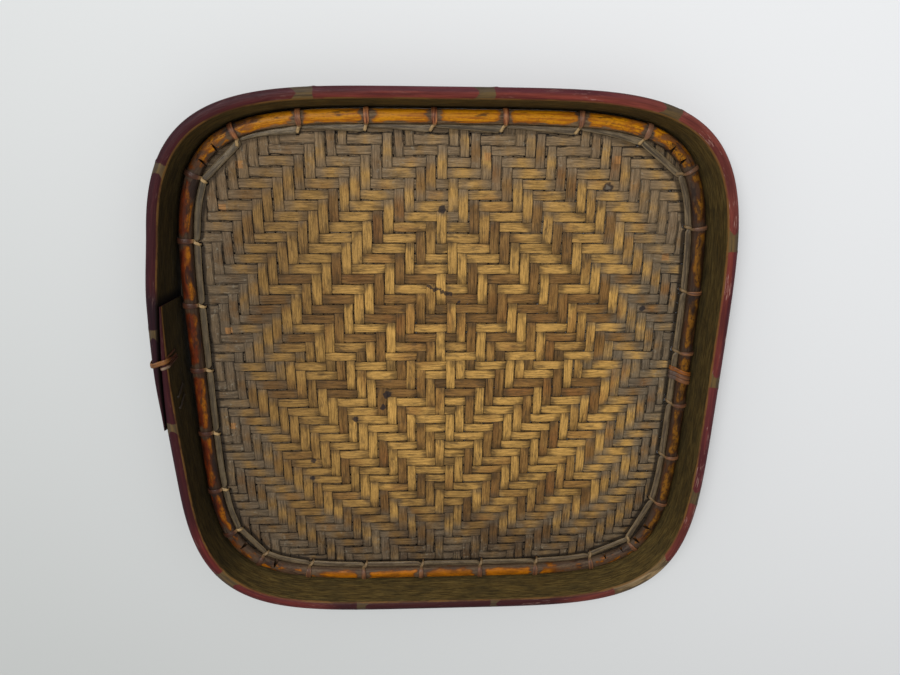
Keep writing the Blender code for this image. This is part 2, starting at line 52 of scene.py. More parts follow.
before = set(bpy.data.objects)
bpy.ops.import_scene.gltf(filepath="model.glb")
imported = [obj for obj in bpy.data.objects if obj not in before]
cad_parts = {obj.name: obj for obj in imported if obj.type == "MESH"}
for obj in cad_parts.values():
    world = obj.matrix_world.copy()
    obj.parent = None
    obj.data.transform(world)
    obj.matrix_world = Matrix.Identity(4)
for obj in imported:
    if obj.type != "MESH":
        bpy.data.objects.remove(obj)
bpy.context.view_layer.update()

HOOP_LOW, HOOP_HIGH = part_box("hoop")
RING_LOW, RING_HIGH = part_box("inner_ring")
UNDER_LOW, UNDER_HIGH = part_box("under_ring")
MAT_LOW, MAT_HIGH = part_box("woven_mat")

# The rim's outer line and the wall, as in the part.
RIM_HALF = (HOOP_HIGH.y - HOOP_LOW.y) / 2
RIM_POWER = 4.6
RIM_SHIFT = (RING_LOW.x + RING_HIGH.x) / 2
RIM_SAMPLES = 2880
WALL_LEAN = 0.007
CROWN_RISE = 0.003
CROWN_STEPS = 12
CROWN_POWER = 0.9
SHOULDER = HOOP_HIGH.z - CROWN_RISE
HOOP_THICKNESS = 0.009
HOOP_STEPS = 820
FOOT_EASE = 0.0006
WALL_LEVELS = (0.012, 0.024)
LAP_CENTRE_SHARE = 0.492
LAP_LENGTH = 0.107
LAP_TIP = 0.0015
LAP_GAP = 0.0014
LAP_EASE = 0.060
LAP_BULGE = 0.003
GAP_CLOSED = 0.75
GAP_CLOSES_FROM = 0.55

RING_WIDTH = 0.011
RING_INSET = RIM_HALF - (RING_HIGH.y - RING_LOW.y) / 2 + RING_WIDTH / 2
UNDER_INSET = RIM_HALF - (UNDER_HIGH.y - UNDER_LOW.y) / 2 + RING_WIDTH / 2
RING_FLANK = 0.002
UNDER_FLANK = 0.0015
RING_CORNER = 0.0004
RING_STEPS = 760
RING_SCARF = 0.03
RING_SCARF_SLOPE = 2.0
RING_END_GAP = 0.0006
RING_JOINT_SHARE = 0.9961
UNDER_JOINT_SHARE = 0.72
KERF_SHARES = (0.1207, 0.1319, 0.3696, 0.3825, 0.6172, 0.6471, 0.8805, 0.8946)
SHORT_KERF_SHARES = (0.8510, 0.8652)
# Width of a kerf at its mouth, and how far across the ring it reaches from the inner side.
KERF_CUT = (0.0066, -0.0010)
SHORT_KERF_CUT = (0.0048, 0.0020)
BLADE_TIP = 0.0003
BLADE_OUT = 0.0080
BLADE_HEIGHT = 0.016
BLADE_LEVEL = 0.0085

CANE_THICKNESS = 0.001
CANE_WIDTH = 0.0042
CANE_CORNER = 0.0003
FIT_GAP = 0.0003
CANE_OFFSET = FIT_GAP + CANE_THICKNESS / 2
TAUTNESS = 0.8
RUN_INSET = RING_INSET + RING_WIDTH / 2 + FIT_GAP + CANE_WIDTH / 2
RUN_THICKNESS = 0.0015
RUN_WIDTH = 0.0052
RUN_EDGE = RING_INSET + RING_WIDTH / 2 + 0.0001
RUN_MIDDLE = RUN_EDGE + RUN_WIDTH / 2
RUN_HEIGHT = MAT_HIGH.z + RUN_THICKNESS / 2
OVER_RUN = RUN_HEIGHT + RUN_THICKNESS / 2 + FIT_GAP + CANE_THICKNESS / 2
RUN_FROM = 0.0008
RUN_TO = 0.0003
# Runs that lie straight across a corner: each is named by the stitch that it leads to.
CORNER_RUNS = (4, 11, 18, 25, 26)
FOOT_INSET = RUN_INSET + 0.0030
STITCH_SHARES = (
    0.0094, 0.0426, 0.0775, 0.1119, 0.1509, 0.1869, 0.2234, 0.2566, 0.2878, 0.3199,
    0.3548, 0.3934, 0.4301, 0.4634, 0.4982, 0.5344, 0.5706, 0.6028, 0.6359, 0.6700,
    0.7036, 0.7369, 0.7713, 0.8042, 0.8395, 0.8743, 0.9147, 0.9469, 0.9793,
)
RIGHT_SIDE = 0.37
SLIM_TIE = 0.8
TIE_SLANT = 0.0007
HOLE_DRIFT = 1.1
# Round an awl hole: how far the mat's faces are cut out, and how far they are first made finer.
PIERCED = 0.0019
REFINED = 0.0029

WRAP_HOLE_INSET = RUN_INSET + CANE_WIDTH / 2 + CANE_THICKNESS + 2 * FIT_GAP
WRAP_TURNS = 3
WRAP_PITCH = 0.0039
WRAP_WIDTH = 0.0037
WRAP_SKEW = 0.0045
WRAP_DROP = 0.0012
RIM_TIE_SHARE = 0.4883
RIM_TIE_HOLE = 0.023
RIM_TIE_SLANT = 0.0015
RIM_TIE_SKEW = 0.0020
SECOND_TURN_AWAY = 0.0046
# Strands beside the rim tie: metres along the rim from it, and the height of their upper ends.
STRANDS = ((-0.0044, 0.0380), (-0.0004, 0.0366), (0.0016, 0.0372), (0.0034, 0.0352))
STRAND_LENGTH = 0.013
STRAND_SLANT = 0.003
WALL_TIE_SHARES = (0.5058, 0.5119)
WALL_TIE_HIGH = 0.0285
WALL_TIE_LOW = 0.0205
WALL_TIE_SLANT = 0.008

# Bamboo joints along the hoop: the share, and how far the bare patch reaches back to its square
# end and on to the tip of the lacquer's tongue. The last one is on the end that overlaps.
HOOP_NODES = (
    (0.0720, 0.0080, 0.0070), (0.1469, 0.0035, 0.0100), (0.2332, 0.0050, 0.0070),
    (0.3147, 0.0090, 0.0040), (0.3919, 0.0015, 0.0060), (0.5232, 0.0040, 0.0035),
    (0.6222, 0.0100, 0.0090), (0.7022, 0.0038, 0.0050), (0.7773, 0.0023, 0.0045),
    (0.8634, 0.0240, 0.0380), (0.9296, 0.0055, 0.0070), (0.9995, 0.0060, 0.0040),
    (1.4735, 0.0047, 0.0030),
)
OVERLAP_SHARE = 1.44
TONGUE = 0.0055
RIDGE_HALF = 0.0014
RIDGE_DIP = 0.0004
ELSEWHERE = 1.0
COVERED = -0.02

# Weave, in the mat's own cells.
WEAVE_PITCH = 0.00855
WEAVE_CENTRE = (0.0002 + RIM_SHIFT, 0.008)
WEAVE_REPEAT = 6
WEAVE_FLOAT = 3
FLOAT_SAMPLES = 18
STRIPS_EACH_WAY = 54
STEPS_PER_CELL = 4
TRIM_CUTS = 56
BROWN_ROWS = (-4, -3, 2, 4, 5, 6, 8)
BROWN_COLUMNS = (-22, -21, -11, -7, -5, -3, 2, 4, 5, 8, 10, 11, 15, 21)
DULL_ROWS = (-23, -22, -21, -20, -19, -18, 1, 20, 21, 22)
DULL_COLUMNS = (-20, -19, -17, -14, -2, 13, 17, 18, 20, 22)
BROWN_TONE, DULL_TONE, GOLDEN_TONE = 0.1, 0.5, 0.9
NEAR_RIM = 0.05
FAR_FROM_RUNS = 0.02
# Where the wall stands back above the scarf's inner tip: how far the mat's hidden edge is drawn
# out, how far up and down the wall this fades, and how deep into the tray it reaches.
EDGE_OUT = 0.003
EDGE_OUT_UP = 0.035
EDGE_OUT_DOWN = 0.003
EDGE_OUT_DEPTH = 0.026
EDGE_OUT_FADE = 0.008

# Marks on the mat: dark knots with their radius, and cells where a pinkish strip shows.
KNOTS = (
    (-0.0007, 0.1376, 0.0032), (0.1315, 0.1560, 0.0042), (-0.0474, -0.0235, 0.0034),
    (-0.0512, -0.0350, 0.0026), (0.1700, 0.0550, 0.0026), (-0.0752, -0.0467, 0.0026),
    (-0.1145, -0.0878, 0.0026), (-0.1162, -0.1057, 0.0024),
)
PALE_CORED = KNOTS[1:2]
PINK_CELLS = (
    (0.1378, 0.1774), (-0.1573, 0.1718), (-0.1732, 0.1385), (-0.1777, 0.0363),
    (-0.1828, -0.0519), (0.0349, 0.1791), (0.1848, 0.0995),
)
PINK_HALF = 0.0030
# A thin dark stain near the middle, as spots that run into each other.
STAIN = (
    (-0.0111, 0.0743), (-0.0089, 0.0727), (-0.0065, 0.0715), (-0.0044, 0.0725), (-0.0023, 0.0720),
    (-0.0002, 0.0695), (0.0023, 0.0684), (0.0048, 0.0685), (0.0073, 0.0675), (0.0141, 0.0609),
)
STAIN_HALF = 0.0017

# Camera, fitted to the rim's outline: focal length in pixels, then the turn and the shift that
# take a place in the photograph's axes (right, down, away) to the camera's.
PHOTO_WIDTH = 900
FOCAL_PIXELS = 690
SENSOR_WIDTH = 36
CAMERA_TURN = (0.3452328, -0.04989645, 0.00366577)
CAMERA_SHIFT = (-0.0025112, 0.03800945, 0.56821558)
CAMERA_NEAR = 0.01

ROOT = "root"
SEED = 20
FLOOR_SIZE = 8
FLOOR_DROP = 0.0002
HAZE_FROM, HAZE_TO = 0.78, 2.08
BACKDROP_COLOUR = (1.0, 0.99, 0.97, 1)
BACKDROP_STRENGTH = 0.85
KEY_PLACE = (-0.80, 1.05, 2.3)
KEY_SIZE = 1.3
DRIFTS = np.random.default_rng(SEED + 2).uniform(0.0018, 0.0032, len(STITCH_SHARES))

FIBRES = "bamboo_fibre"
GRIME = "grime"
SHADER_SOCKETS = {
    "roughness": "Roughness", "specular": "Specular IOR Level",
    "coat": "Coat Weight", "coat_roughness": "Coat Roughness",
}
# Canes that aren't in the panel: dark and pale streaks, and the colour of the twisted foot.
OTHER_CANES = {
    "cane_winding": ((104, 54, 10), (176, 100, 18), (88, 70, 60)),
    "cane_scarf": ((96, 56, 24), (164, 110, 54), (66, 34, 22)),
    "cane_strand": ((54, 24, 16), (120, 74, 40), (54, 24, 16)),
    "cane_turn": ((84, 48, 38), (124, 92, 80), (134, 112, 92)),
    "cane_small": ((26, 19, 13), (50, 38, 24), (50, 38, 24)),
}
CANE_EDGE = (40, 26, 20)
# Painted highlight along both long edges of a run.
RUN_EDGE_HIGHLIGHT = (140, 118, 84)


class Rim:
    """The rim's outer line from above."""

    def __init__(self):
        angles = np.linspace(0, 2 * math.pi, RIM_SAMPLES, endpoint=False)
        cosines, sines = np.cos(angles), np.sin(angles)
        spread = (np.abs(cosines) ** RIM_POWER + np.abs(sines) ** RIM_POWER) ** (1 / RIM_POWER)
        points = np.column_stack((cosines, sines)) * (RIM_HALF / spread)[:, None]
        lengths = np.hypot(*(np.roll(points, -1, axis=0) - points).T)
        tangents = np.roll(points, -1, axis=0) - np.roll(points, 1, axis=0)
        tangents /= np.hypot(*tangents.T)[:, None]
        self.length = lengths.sum()
        self.shares = np.append(0, np.cumsum(lengths)) / self.length
        self.points = np.vstack((points, points[:1])) + (RIM_SHIFT, 0)
        self.tangents = np.vstack((tangents, tangents[:1]))

    def at(self, share):
        """Point, direction along and direction inward at a share."""
        point, along = (
            [np.interp(share % 1, self.shares, table[:, axis]) for axis in (0, 1)]
            for table in (self.points, self.tangents)
        )
        along = Vector((*along, 0)).normalized()
        return Vector((*point, 0)), along, Vector((-along.y, along.x, 0))

    def place(self, share, inset, height):
        point, _, inward = self.at(share)
        return point + inward * inset + Vector((0, 0, height))


RIM = Rim()
LAP_START = LAP_CENTRE_SHARE - LAP_LENGTH / RIM.length / 2


def lean_at(height):
    return WALL_LEAN * (1 - height / SHOULDER)


def ease(value):
    held = np.clip(value, 0, 1)
    return held * held * (3 - 2 * held)


def deselect():
    if bpy.context.object and bpy.context.object.mode != "OBJECT":
        bpy.ops.object.mode_set(mode="OBJECT")
    bpy.ops.object.select_all(action="DESELECT")


def pick(*objects):
    """Select these objects alone, the first one active."""
    deselect()
    for item in objects:
        item.select_set(True)
    bpy.context.view_layer.objects.active = objects[0]


def join(*objects):
    """Join objects into the first one."""
    pick(*objects)
    bpy.ops.object.join()
    return objects[0]


@contextmanager
def editing(item):
    """Edit mode on one piece, with all of it selected."""
    pick(item)
    bpy.ops.object.mode_set(mode="EDIT")
    bpy.ops.mesh.select_all(action="SELECT")
    yield
    bpy.ops.mesh.select_mode(type="VERT")
    bpy.ops.object.mode_set(mode="OBJECT")


def corners_of(item):
    flat = np.empty(len(item.data.vertices) * 3)
    item.data.vertices.foreach_get("co", flat)
    return flat.reshape(-1, 3)


def move_corners(item, places):
    item.data.vertices.foreach_set("co", np.asarray(places, float).ravel())
    item.data.update()


def select_faces(item, test):
    """In edit mode, select the faces that pass a test."""
    bpy.ops.mesh.select_all(action="DESELECT")
    bpy.ops.object.mode_set(mode="OBJECT")
    for face in item.data.polygons:
        face.select = bool(test(face))
    bpy.ops.object.mode_set(mode="EDIT")


def apply_modifier(item, kind, **settings):
    pick(item)
    modifier = item.modifiers.new(kind.lower(), kind)
    for key, value in settings.items():
        setattr(modifier, key, value)
    bpy.ops.object.modifier_apply(modifier=modifier.name)


def repeat(item, count, step, **settings):
    apply_modifier(
        item, "ARRAY", count=count, use_relative_offset=False, use_constant_offset=True,
        constant_offset_displace=step, **settings,
    )


def keep_straight(item, places):
    """Store each corner's straight place for the materials."""
    layer = item.data.attributes.new("straight", "FLOAT_VECTOR", "POINT")
    layer.data.foreach_set("vector", np.asarray(places).ravel())


def store_values(item, **values):
    for name, numbers in values.items():
        layer = item.data.attributes.new(name, "FLOAT", "POINT")
        layer.data.foreach_set("value", np.asarray(numbers, float))


def round_off(item, degrees):
    """Turn all faces outward and shade the shallow edges smooth."""
    with editing(item):
        bpy.ops.mesh.normals_make_consistent(inside=False)
    bpy.ops.object.shade_smooth_by_angle(angle=math.radians(degrees))


def dress(item, *names):
    for name in names:
        item.data.materials.append(finishes()[name])


def finish_piece(item, name, node):
    """Name a piece, hang it under the root and hide the CAD part that it stands for."""
    item.name = name
    item.data.name = name
    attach(item, ROOT)
    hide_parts(node)
    deselect()


def straight_bar(section, length, steps, capped=True):
    """A straight bar along X whose section is given as places across (Y) and up (Z)."""
    step = (length / steps, 0, 0)
    bpy.ops.mesh.primitive_circle_add(vertices=len(section), radius=1, location=(0, 0, 0))
    bar = bpy.context.object
    move_corners(bar, [(0, across, up) for across, up in section])
    with editing(bar):
        bpy.ops.mesh.extrude_region_move(TRANSFORM_OT_translate={"value": step})
    repeat(bar, steps, step, use_merge_vertices=True, merge_threshold=0.00005)
    if capped:
        with editing(bar):
            bpy.ops.mesh.select_all(action="DESELECT")
            bpy.ops.mesh.select_mode(type="EDGE")
            bpy.ops.mesh.select_non_manifold()
            bpy.ops.mesh.fill_holes(sides=0)
    return bar


def bend_round(bar, first_share, turns):
    """Bend a straight bar round the rim with a Curve modifier."""
    curve = bpy.data.curves.new("bending path", "CURVE")
    curve.dimensions = "3D"
    curve.twist_mode = "Z_UP"
    curve.use_path = True
    line = curve.splines.new("POLY")
    shares = np.linspace(first_share, first_share + turns, int(1200 * turns))
    line.points.add(len(shares) - 1)
    for point, share in zip(line.points, shares):
        point.co = (*RIM.at(share)[0], 1)
    path = bpy.data.objects.new("bending path", curve)
    bpy.context.scene.collection.objects.link(path)
    bpy.context.view_layer.update()
    apply_modifier(bar, "CURVE", object=path, deform_axis="POS_X")
    bpy.data.objects.remove(path)
    bpy.data.curves.remove(curve)


def shade(red, green, blue):
    """Linear colour of an sRGB one given from 0 to 255."""
    parts = [value / 255 for value in (red, green, blue)]
    return (*[p / 12.92 if p <= 0.04045 else ((p + 0.055) / 1.055) ** 2.4 for p in parts], 1)


class Value:
    """A number in a node tree, which can be reckoned with like a plain one."""

    def __init__(self, nodes, socket):
        self.nodes = nodes
        self.socket = socket

    def __add__(self, other):
        return self.nodes.math("ADD", self, other)

    def __sub__(self, other):
        return self.nodes.math("SUBTRACT", self, other)

    def __rsub__(self, other):
        return self.nodes.math("SUBTRACT", other, self)

    def __mul__(self, other):
        return self.nodes.math("MULTIPLY", self, other)

    def __truediv__(self, other):
        return self.nodes.math("DIVIDE", self, other)

    def __abs__(self):
        return self.nodes.math("ABSOLUTE", self)

    def least(self, other):
        return self.nodes.math("MINIMUM", self, other)

    def most(self, other):
        return self.nodes.math("MAXIMUM", self, other)

    def rise(self, low, high, out_low=0.0, out_high=1.0):
        """Map from one range to another, smoothly and held at both ends."""
        sockets = {"Value": self, "From Min": low, "From Max": high}
        sockets.update({"To Min": out_low, "To Max": out_high})
        node = self.nodes.add("ShaderNodeMapRange", sockets, interpolation_type="SMOOTHSTEP")
        return Value(self.nodes, node.outputs[0])


class Nodes:
    """A short way to write a node tree. A colour of three numbers is an sRGB one, 0 to 255."""

    def __init__(self, tree):
        self.tree = tree

    def add(self, kind, sockets=None, **settings):
        node = self.tree.nodes.new(kind)
        for key, value in settings.items():
            setattr(node, key, value)
        for key, value in (sockets or {}).items():
            self.feed(node.inputs[key], value)
        return node

    def feed(self, socket, value):
        if isinstance(value, Value):
            value = value.socket
        if isinstance(value, bpy.types.NodeSocket):
            self.tree.links.new(value, socket)
        elif socket.type == "RGBA" and len(value) == 3:
            socket.default_value = shade(*value)
        else:
            socket.default_value = value

    def math(self, operation, first, second=0.0):
        node = self.add("ShaderNodeMath", {0: first, 1: second}, operation=operation)
        return Value(self, node.outputs[0])

    def vector(self, operation, *vectors):
        """Vector math: another vector, or a number where the operation gives one."""
        node = self.add("ShaderNodeVectorMath", dict(enumerate(vectors)), operation=operation)
        if operation in ("DISTANCE", "LENGTH"):
            return Value(self, node.outputs["Value"])
        return node.outputs[0]

    def mix(self, factor, first, second, blend="MIX"):
        node = self.add("ShaderNodeMix", data_type="RGBA", blend_type=blend)
        for index, value in ((0, factor), (6, first), (7, second)):
            self.feed(node.inputs[index], value)
        return node.outputs[2]

    def paint(self, colour, *layers):
        """Lay colours over one another, each through its mask."""
        for mask, tint in layers:
            colour = self.mix(mask, colour, tint)
        return colour

    def stretch(self, vector, scale, shift=(0, 0, 0)):
        sockets = {"Vector": vector, "Scale": scale, "Location": shift}
        return self.add("ShaderNodeMapping", sockets).outputs[0]

    def noise(self, vector, stretch, detail=3.0, roughness=0.55, shift=(0, 0, 0), scale=1.0):
        vector = self.stretch(vector, stretch, shift) if stretch else vector
        sockets = {"Vector": vector, "Scale": scale, "Detail": detail, "Roughness": roughness}
        return Value(self, self.add("ShaderNodeTexNoise", sockets).outputs["Fac"])

    def value(self, attribute):
        node = self.add("ShaderNodeAttribute", attribute_name=attribute)
        return Value(self, node.outputs["Fac"])

    def split(self, vector):
        sockets = self.add("ShaderNodeSeparateXYZ", {0: vector}).outputs
        return [Value(self, socket) for socket in sockets]

    def group(self, name, **sockets):
        node = self.add("ShaderNodeGroup", sockets, node_tree=bpy.data.node_groups[name])
        return {socket.name: Value(self, socket) for socket in node.outputs}

    def camera_ray(self):
        return Value(self, self.add("ShaderNodeLightPath").outputs["Is Camera Ray"])


def new_group(name, inputs, outputs):
    """An empty node group: a vector and named numbers in, named numbers out."""
    tree = bpy.data.node_groups.new(name, "ShaderNodeTree")
    tree.interface.new_socket("Vector", in_out="INPUT", socket_type="NodeSocketVector")
    for label, value in inputs.items():
        socket = tree.interface.new_socket(label, in_out="INPUT", socket_type="NodeSocketFloat")
        socket.default_value = value
    for label in outputs:
        tree.interface.new_socket(label, in_out="OUTPUT", socket_type="NodeSocketFloat")
    nodes = Nodes(tree)
    return nodes, nodes.add("NodeGroupInput").outputs, nodes.add("NodeGroupOutput").inputs


def fibre_group():
    """Split bamboo and cane: broad streaks, fine fibres, thin grooves, short dark pores along X."""
    grains = {
        "Streaks": ((34, 520, 520), 4.0, 0.68, (0, 0, 0), 0.32, 0.68),
        "Fibres": ((90, 1500, 1500), 3.0, 0.6, (0, 0, 0), 0.34, 0.66),
        "Grooves": ((22, 900, 900), 2.0, 0.55, (5, 2, 3), 0.43, 0.34),
        "Pores": ((260, 1300, 1300), 2.0, 0.55, (3, 1, 7), 0.62, 0.70),
    }
    nodes, given, wanted = new_group(FIBRES, {"Fineness": 1.0}, grains)
    for label, (stretch, detail, roughness, shift, low, high) in grains.items():
        grain = nodes.noise(given["Vector"], stretch, detail, roughness, shift, given["Fineness"])
        nodes.feed(wanted[label], grain.rise(low, high))


def grime_group():
    """Dirt and age: large soft patches broken up by small ones."""
    nodes, given, wanted = new_group(GRIME, {"Size": 20.0, "Low": 0.4, "High": 0.6}, ["Mask"])
    patches = nodes.noise(given["Vector"], None, 5.0, 0.62, scale=given["Size"])
    nodes.feed(wanted["Mask"], patches.rise(given["Low"], given["High"]))


class Finish(Nodes):
    """A material being written. Its coordinates are made when they are first asked for."""

    def __init__(self, name, **constants):
        """Set on the shader itself what is the same all over."""
        self.name = name
        self.material = bpy.data.materials.new(name)
        self.material.use_nodes = True
        super().__init__(self.material.node_tree)
        self.shader = self.tree.nodes["Principled BSDF"].inputs
        for label, value in constants.items():
            self.shader[SHADER_SOCKETS[label]].default_value = value

    @cached_property
    def straight(self):
        return self.add("ShaderNodeAttribute", attribute_name="straight").outputs["Vector"]

    @cached_property
    def place(self):
        return self.add("ShaderNodeTexCoord").outputs["Object"]

    @cached_property
    def compass(self):
        """How far east (X) and how far north (Y) of the tray's middle."""
        return self.split(self.place)[:2]

    def grain(self, fineness=1.0):
        return self.group(FIBRES, Vector=self.straight, Fineness=fineness)

    def age(self, vector, size, low, high):
        return self.group(GRIME, Vector=vector, Size=size, Low=low, High=high)["Mask"]

    def done(self, colour, roughness, height, distance, strength):
        """Feed the shader."""
        relief = {"Height": height, "Strength": strength, "Distance": distance}
        self.feed(self.shader["Base Color"], colour)
        self.feed(self.shader["Roughness"], roughness)
        self.feed(self.shader["Normal"], self.add("ShaderNodeBump", relief).outputs[0])
        return self


def nearest_spot(nodes, place, spots):
    """How many of its own radii away the nearest of some round spots is."""
    return reduce(Value.least, [
        nodes.vector("DISTANCE", place, (across, deep, MAT_HIGH.z)) / radius
        for across, deep, radius in spots
    ])


def nearest_cell(nodes, place, cells):
    """Distance from the middle of the nearest of some square cells, along its farther side."""
    sides = []
    for across, deep in cells:
        offset = nodes.vector("ABSOLUTE", nodes.stretch(place, (1, 1, 0), (-across, -deep, 0)))
        sides.append(Value.most(*nodes.split(offset)[:2]))
    return reduce(Value.least, sides)


def woven_finish(settings):
    """Split strips, golden on the middle of a float, dirty at its ends and near the rings, with
    painted shade between strips, beside the runs and on the left.
    """
    finish = Finish("woven_bamboo", specular=0.15)
    straight, place, (east, north) = finish.straight, finish.place, finish.compass
    tone, crest, inset, from_run = map(finish.value, ("tone", "crest", "inset", "from_run"))
    side = abs(finish.split(straight)[1])
    grain = finish.grain()
    age = finish.age(place, 30.0, 0.36, 0.64)
    drift = finish.noise(straight, (46, 120, 3), 3.0, 0.6)
    red = finish.noise(straight, (14, 30, 5), 1.0, shift=(9, 2, 4)).rise(0.55, 0.68)
    blotches = finish.noise(straight, (80, 240, 7), 4.0, 0.66, (2, 7, 0))
    light = tone * 0.8 + drift * 0.75
    worn = crest + (drift - 0.5) * 2.2 - side.rise(0.0020, 0.0042) * 0.12
    reach = inset + (age - 0.5) * 0.034
    kept = reach + (crest - 0.5) * 0.046
    grey = finish.mix(north.rise(0.07, 0.16), settings.grey_strip, (125, 106, 82))
    shaded = east.rise(-0.05, -0.15, 0, 0.25) * north.rise(-0.15, -0.09, 0.2, 1)
    soil = north.rise(-0.05, -0.19) * age.rise(0.0, 0.7, 0.35, 1.0)
    soil = soil * abs(east).rise(0.06, 0.12, 0.70, 0.52)
    cell = nearest_cell(finish, place, PINK_CELLS)
    pink = cell.rise(PINK_HALF + 0.0004, PINK_HALF - 0.0006, 0, 0.65)
    colour = finish.paint(
        finish.mix(light.rise(0.38, 1.06), settings.brown_strip, settings.golden_strip),
        (red * 0.5, settings.reddish_strip),
        (worn.rise(0.52, -0.22, 0, 0.72), settings.dirt),
        (blotches.rise(0.50, 0.70, 0, 0.6), (80, 64, 43)),
        # Darker on the left, here and again below the grey edge: partly browner strips, partly
        # painted shade.
        (east.rise(-0.03, -0.16, 0, 0.45), (84, 62, 38)),
        (north.rise(0.06, 0.12, 0, 0.2), (84, 70, 56)),
        (kept.rise(0.100, 0.034, 0, 0.86), grey),
        (shaded, (84, 62, 38)),
        (soil, (66, 48, 32)),
        (pink, settings.pink_strip),
    )
    lines = grain["Streaks"].rise(0.02, 0.50, 0.70, 1.04)
    lines = lines * grain["Fibres"].rise(0, 1, 0.76, 1.18)
    lines = lines * grain["Grooves"].rise(0, 1, 1.04, 0.58)
    colour = finish.mix(1.0, colour, lines, "MULTIPLY")
    dust = finish.noise(place, (1, 1, 1), 4.0, 0.7, (3, 5, 0), 300.0)
    dust = dust.rise(0.56, 0.70) * reach.rise(0.085, 0.030)
    loose = reach.rise(0.080, 0.020) * blotches.rise(0.36, 0.62, 0, 0.0012)
    # Painted shade: dark lines at the sides of the strips where they part, and a soft shadow on the
    # mat beside each run.
    seam_shade = (side + loose).rise(0.0034, 0.0040) * age.rise(0.15, 0.8, 0.5, 0.95)
    beside = from_run + drift * -0.0022 - abs(east).rise(0.06, 0.17, 0, 0.0014)
    run_shadow = beside.rise(0.0018, -0.0006, 0, 0.88) * north.rise(0.14, 0.18, 1, 0.6)
    noise = finish.add("ShaderNodeTexNoise", {"Vector": place, "Scale": 260.0, "Detail": 3.0})
    ragged = finish.vector("SUBTRACT", noise.outputs["Color"], (0.5, 0.5, 0.5))
    bent = finish.vector("ADD", place, finish.vector("MULTIPLY", ragged, (0.005, 0.005, 0.005)))
    marks = KNOTS + tuple((across, deep, STAIN_HALF) for across, deep in STAIN)
    colour = finish.paint(
        colour,
        (dust * 0.5, (150, 142, 124)),
        # Painted shade between strips and beside the runs, with the grain's own dark pores.
        (seam_shade.most(run_shadow).most(grain["Pores"] * 0.5), (28, 22, 16)),
        (nearest_spot(finish, bent, marks).rise(1.15, 0.75, 0, 0.85), (36, 32, 36)),
        (nearest_spot(finish, bent, PALE_CORED).rise(0.62, 0.30, 0, 0.6), (128, 118, 104)),
    )
    rough = grain["Streaks"].rise(0, 1, 0.66, 0.5)
    return finish.done(colour, rough, grain["Streaks"] + grain["Fibres"] * 0.6, 0.0003, 0.8)


